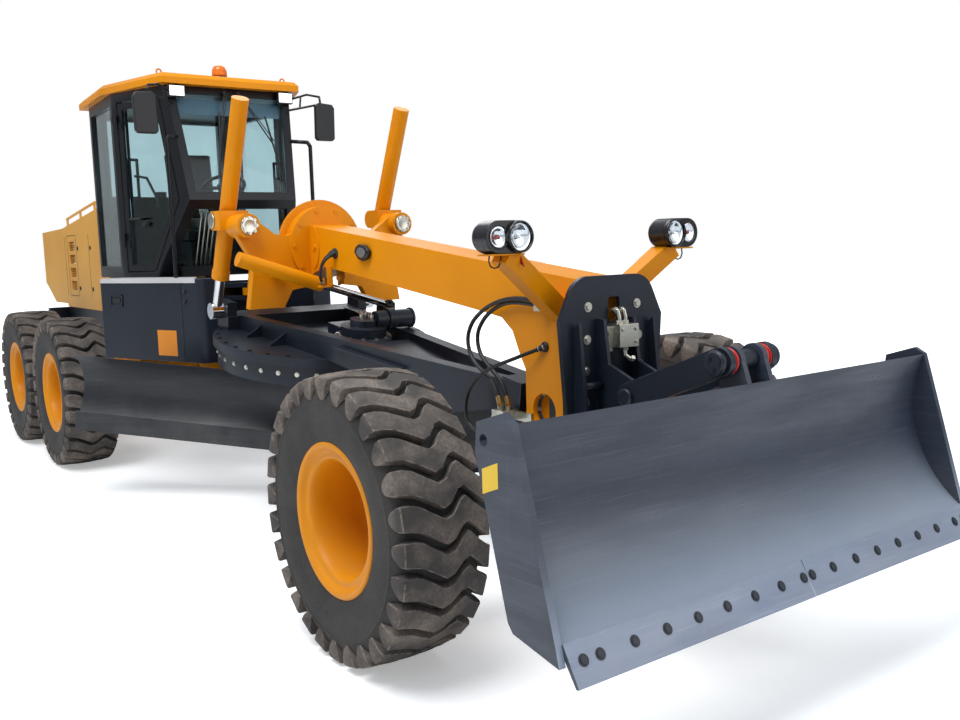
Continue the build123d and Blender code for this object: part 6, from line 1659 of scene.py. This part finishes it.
@dataclass
class RearBody(Assembly):
    """Louvres, seams, latches, step plates and lamps of the hood, tanks and tail.

    Attributes:
        windows: Heights of the feet of the hood's windows in millimetres.
        seams: Forward distances of the hood's seams in millimetres.
        tank_run: Forward and outward run of the tank's side in millimetres.
        exhaust: Section of the exhaust pipe in metres.
    """

    windows: Sequence[float] = (1540.0, 1680.0, 1820.0, 1960.0)
    seams: Sequence[float] = (-5960.0, -6460.0, -6960.0, -7330.0, -7440.0)
    tank_run: tuple[float, float] = (-1160.0, 440.0)
    exhaust: Pairs = ((0.045, 0.0), (0.060, 0.0), (0.060, 0.30), (0.056, 0.30), (0.056, 0.02), (0.045, 0.02))

    def make_louvres(self) -> None:
        """Makes the slats in the hood's windows."""
        for side in Side:
            slats = Sketch(f"hood_slats_{side.word}")
            for low in (z + 6 + 18 * k for z in self.windows for k in range(5)):
                slats.prism([side.at(-7268, y, low + z) for y, z in ((592, 0), (592, 3), (566, 17), (566, 14))],
                            (0.236, 0, 0))
            slats.finish("chassis", "pale_yellow_paint")

    def make_panels(self) -> None:
        """Makes the hood's door seams and latches."""
        seams, latches = Sketch("hood_seams"), Sketch("hood_latches")
        for side in Side:
            for z in (1478.0, 2120.0):
                seams.box(side.at(-7330, 599, z - 3), side.at(-6960, 601.2, z + 3))
            for x in self.seams:
                seams.box(side.at(x - 3, 599, 1478), side.at(x + 3, 601.2, 2120))
                for z in (1560.0, 1980.0) if x > -7000.0 else ():
                    latches.rod(side.at(x + 60, 600, z), side.at(x + 60, 605, z), 0.022)
                    latches.box(side.at(x + 48, 600, z - 5), side.at(x + 72, 608, z + 5))
        seams.finish("chassis", "dark_plastic", "trim")
        latches.finish("chassis", "dark_plastic", "trim", 0.001)

    def make_tanks(self) -> None:
        """Makes the tanks' step plates, panel frames, latches and the right one's blank sign."""
        steps, frames, bits, signs = (Sketch(f"tank_{part}") for part in ("steps", "panels", "latches", "signs"))
        along = Vector((*self.tank_run, 0)).normalized()
        for side in Side:
            out = Vector((along.y, side.value * -along.x, 0))
            run = Vector((along.x, side.value * along.y, 0))
            corner = side.at(-3440, 560, 0)

            def plate(sketch: Sketch, first: float, last: float, low: float, high: float, lift: float,
                      thick: float) -> None:
                """Adds an upright plate on the tank's side, from distances along it and heights in metres."""
                sketch.prism([corner + run * d + Vector((0, 0, z)) + out * lift for d, z in
                              ((first, low), (last, low), (last, high), (first, high))], out * thick)

            steps.prism([corner + run * d + Vector((0, 0, 1.700)) + out * push for d, push in (
                (0.06, -0.01), (1.235, -0.01), (1.235, -0.25), (0.35, -0.25), (0.20, -0.14))], (0, 0, 0.006))
            plate(steps, 0.06, 1.235, 1.668, 1.706, 0.0, 0.004)
            for edges in ((0.955, 1.115, 1.475, 1.489), (0.955, 1.115, 1.561, 1.575), (0.955, 0.969, 1.475, 1.575),
                          (1.101, 1.115, 1.475, 1.575)):
                plate(frames, *edges, -0.001, 0.009)
            plate(bits, 0.985, 1.085, 1.512, 1.540, 0.0, 0.010)
            plate(frames, 0.232, 0.238, 1.05, 1.69, -0.001, 0.004)
            for z in (1.60, 1.52):
                foot = corner + run * 0.19 + Vector((0, 0, z))
                bits.rod(foot, foot + out * 0.014, 0.014)
            if side is Side.RIGHT:
                plate(signs, 0.315, 0.545, 1.085, 1.290, 0.0, 0.001)
        steps.finish("chassis", "worn_steel", "step", 0.001)
        frames.finish("chassis", "dark_paint", bevel=0.001)
        bits.finish("chassis", "dark_plastic", "trim", 0.004)
        signs.finish("chassis", "yellow_paint", "orange sign")

    def make_tail(self) -> None:
        """Makes the tail lamps and the exhaust pipe."""
        red, case, pipe = Sketch("tail_lenses"), Sketch("tail_cases"), Sketch("exhaust_pipe")
        for side in Side:
            case.box(side.at(-8412, 470, 1140), side.at(-8400, 590, 1210))
            red.box(side.at(-8420, 478, 1147), side.at(-8410, 582, 1203))
        case.finish("chassis", "dark_plastic", "housing", 0.003)
        red.finish("chassis", "lamp_plastic", "red", 0.003)
        pipe.lathe(self.exhaust, at(-6700, 250, 2262), Vector((0, 0, 1)), 32)
        pipe.finish("chassis", "dark_paint", bevel=0.001)


@dataclass
class AxleBolts(Assembly):
    """Bolts of the tandem's hubs and of the front axle's top, in millimetres."""

    hubs: Sequence[float] = (-5450.0, -6988.0)
    columns: Sequence[float] = (-60.0, 60.0)
    rows: Sequence[float] = (-300.0, -180.0, 180.0, 300.0)

    def make_bolts(self) -> None:
        """Makes both sets of bolts."""
        set_bolts("hub_bolts", "chassis", "dark_paint", "", 0.012, 0.010,
                  [bolt for x in self.hubs for side in Side
                   for bolt in ring_of_bolts(side.at(x, 800, 674), side.out, 0.165, 12)])
        set_bolts("axle_bolts", "front_frame", "dark_paint", "", 0.012, 0.009,
                  [(at(x, y, 745), Vector((0, 0, 1))) for x in self.columns for y in self.rows])


# ---------------------------------------------------------------- studio


@dataclass
class Studio(Assembly):
    """Camera, floor, world and lamps.

    Attributes:
        camera_place: Place of the camera in metres.
        look: Direction that it looks along.
        right: Direction of its right.
        up: Direction of its top.
        lens: Focal length in millimetres.
        sensor: Width of its sensor in millimetres.
        reach: Half width of the floor in metres.
        lamps: Name, place, target, width in metres and power in watts of each lamp.
    """

    camera_place: Point = (7.25555, -3.20844, 1.90710)
    look: Point = (-0.80256, 0.58426, -0.12055)
    right: Point = (0.59120, 0.80596, -0.02973)
    up: Point = (-0.07979, 0.09513, 0.99225)
    lens: float = 35.98
    sensor: float = 36.0
    reach: float = 60.0
    lamps: Sequence[tuple[str, Point, Point, float, float]] = (
        ("key", (3.5, -5.0, 12.0), (0.0, 0.0, 1.0), 8.0, 1250.0),
        ("fill", (12.0, 4.0, 5.0), (2.0, 0.0, 1.0), 8.0, 260.0),
        ("back", (-9.0, 5.0, 9.0), (0.0, 0.0, 1.0), 7.0, 350.0),
    )

    def make_camera(self) -> None:
        """Sets the camera."""
        data = bpy.data.cameras.new("camera")
        data.lens, data.sensor_width, data.clip_end = self.lens, self.sensor, 200.0
        obj = link("camera", data)
        turn = Matrix([Vector(self.right), Vector(self.up), -Vector(self.look)]).transposed().to_4x4()
        obj.matrix_world = Matrix.Translation(self.camera_place) @ turn
        bpy.context.scene.camera = obj

    def make_floor(self) -> None:
        """Makes the pale floor, which grows whiter for the camera away from the machine."""
        sketch = Sketch("floor")
        sketch.bm.faces.new([sketch.bm.verts.new((x * self.reach, y * self.reach, 0.0))
                             for x, y in ((-1, -1), (1, -1), (1, 1), (-1, 1))])
        obj = link("floor", sketch.mesh())
        obj.data.materials.append(MATERIALS["floor"])

    def make_world(self) -> None:
        """Makes the even world light, with a white background behind the machine."""
        world = bpy.data.worlds.new("studio")
        bpy.context.scene.world = world
        world.use_nodes = True
        wire = Wiring(world.node_tree)
        background = world.node_tree.nodes["Background"]
        rays = wire.node("ShaderNodeLightPath").outputs
        seen = wire.math("MAXIMUM", rays["Is Camera Ray"], rays["Is Transmission Ray"])
        height = wire.span(wire.part(wire.node("ShaderNodeTexCoord").outputs["Generated"], "Z"), -0.1, 0.9)
        glow = wire.span(height, 0.0, 1.0, 0.16, 0.80)
        wire.join(wire.math("MAXIMUM", seen, glow), background.inputs["Strength"])
        tint = wire.times(height, wire.math("SUBTRACT", 1.0, seen))
        wire.join(wire.blend(tint, (1.0, 1.0, 1.0), (0.74, 0.86, 1.0)), background.inputs["Color"])

    def make_lamps(self) -> None:
        """Adds the soft area lamps and sets the view."""
        for name, place, target, size, power in self.lamps:
            data = bpy.data.lights.new(name, "AREA")
            data.shape, data.size, data.energy = "DISK", size, power
            link(name, data).matrix_world = Matrix.Translation(place) @ frame_from(Vector(place) - Vector(target))
        bpy.context.scene.view_settings.view_transform = "Standard"


# The main blade's cutting edge takes the blade paint darkened for painted shade; the front blade takes the lighter
# copy.
LOOKS: dict[str, str] = {"cab_shell": "cab", "door_left": "cab", "door_right": "cab",
                         "dozer_blade": "front blade", "cutting_edge": "blade"}
BEVELS: dict[str, float] = {"cab_glass": 0.0, "door_glass_left": 0.0, "door_glass_right": 0.0, "hood": 0.008}
BEVEL = 0.004
MADE_HERE = ("tyre_", "rim_", "hose_upper", "hose_lower", "hose_leg", "roof_lamps", "mirrors", "seat")
AXLES: dict[str, float] = {"front": 0.0, "middle": -5450.0, "rear": -6988.0}
ASSEMBLIES: tuple[type[Assembly], ...] = (FrontBlade, ValveFittings, SaddleDress, CircleDress, HoseSet, Lamps, CabDress,
                                          DriverSeat, RearBody, AxleBolts)


def main() -> None:
    """Builds every sub-assembly in order."""
    logging.basicConfig(level=logging.INFO, format="%(message)s")
    Studio().build()
    for node in sorted(frame["nodes"]):
        if not node.startswith(MADE_HERE):
            dress_node(node, LOOKS.get(node) or BY_SLOT[SLOTS[node]], BEVELS.get(node, BEVEL))
    for place, x in AXLES.items():
        for side in Side:
            Wheel(place, side, x).build()
    for assembly in ASSEMBLIES:
        assembly().build()


if __name__ == "__main__":
    main()
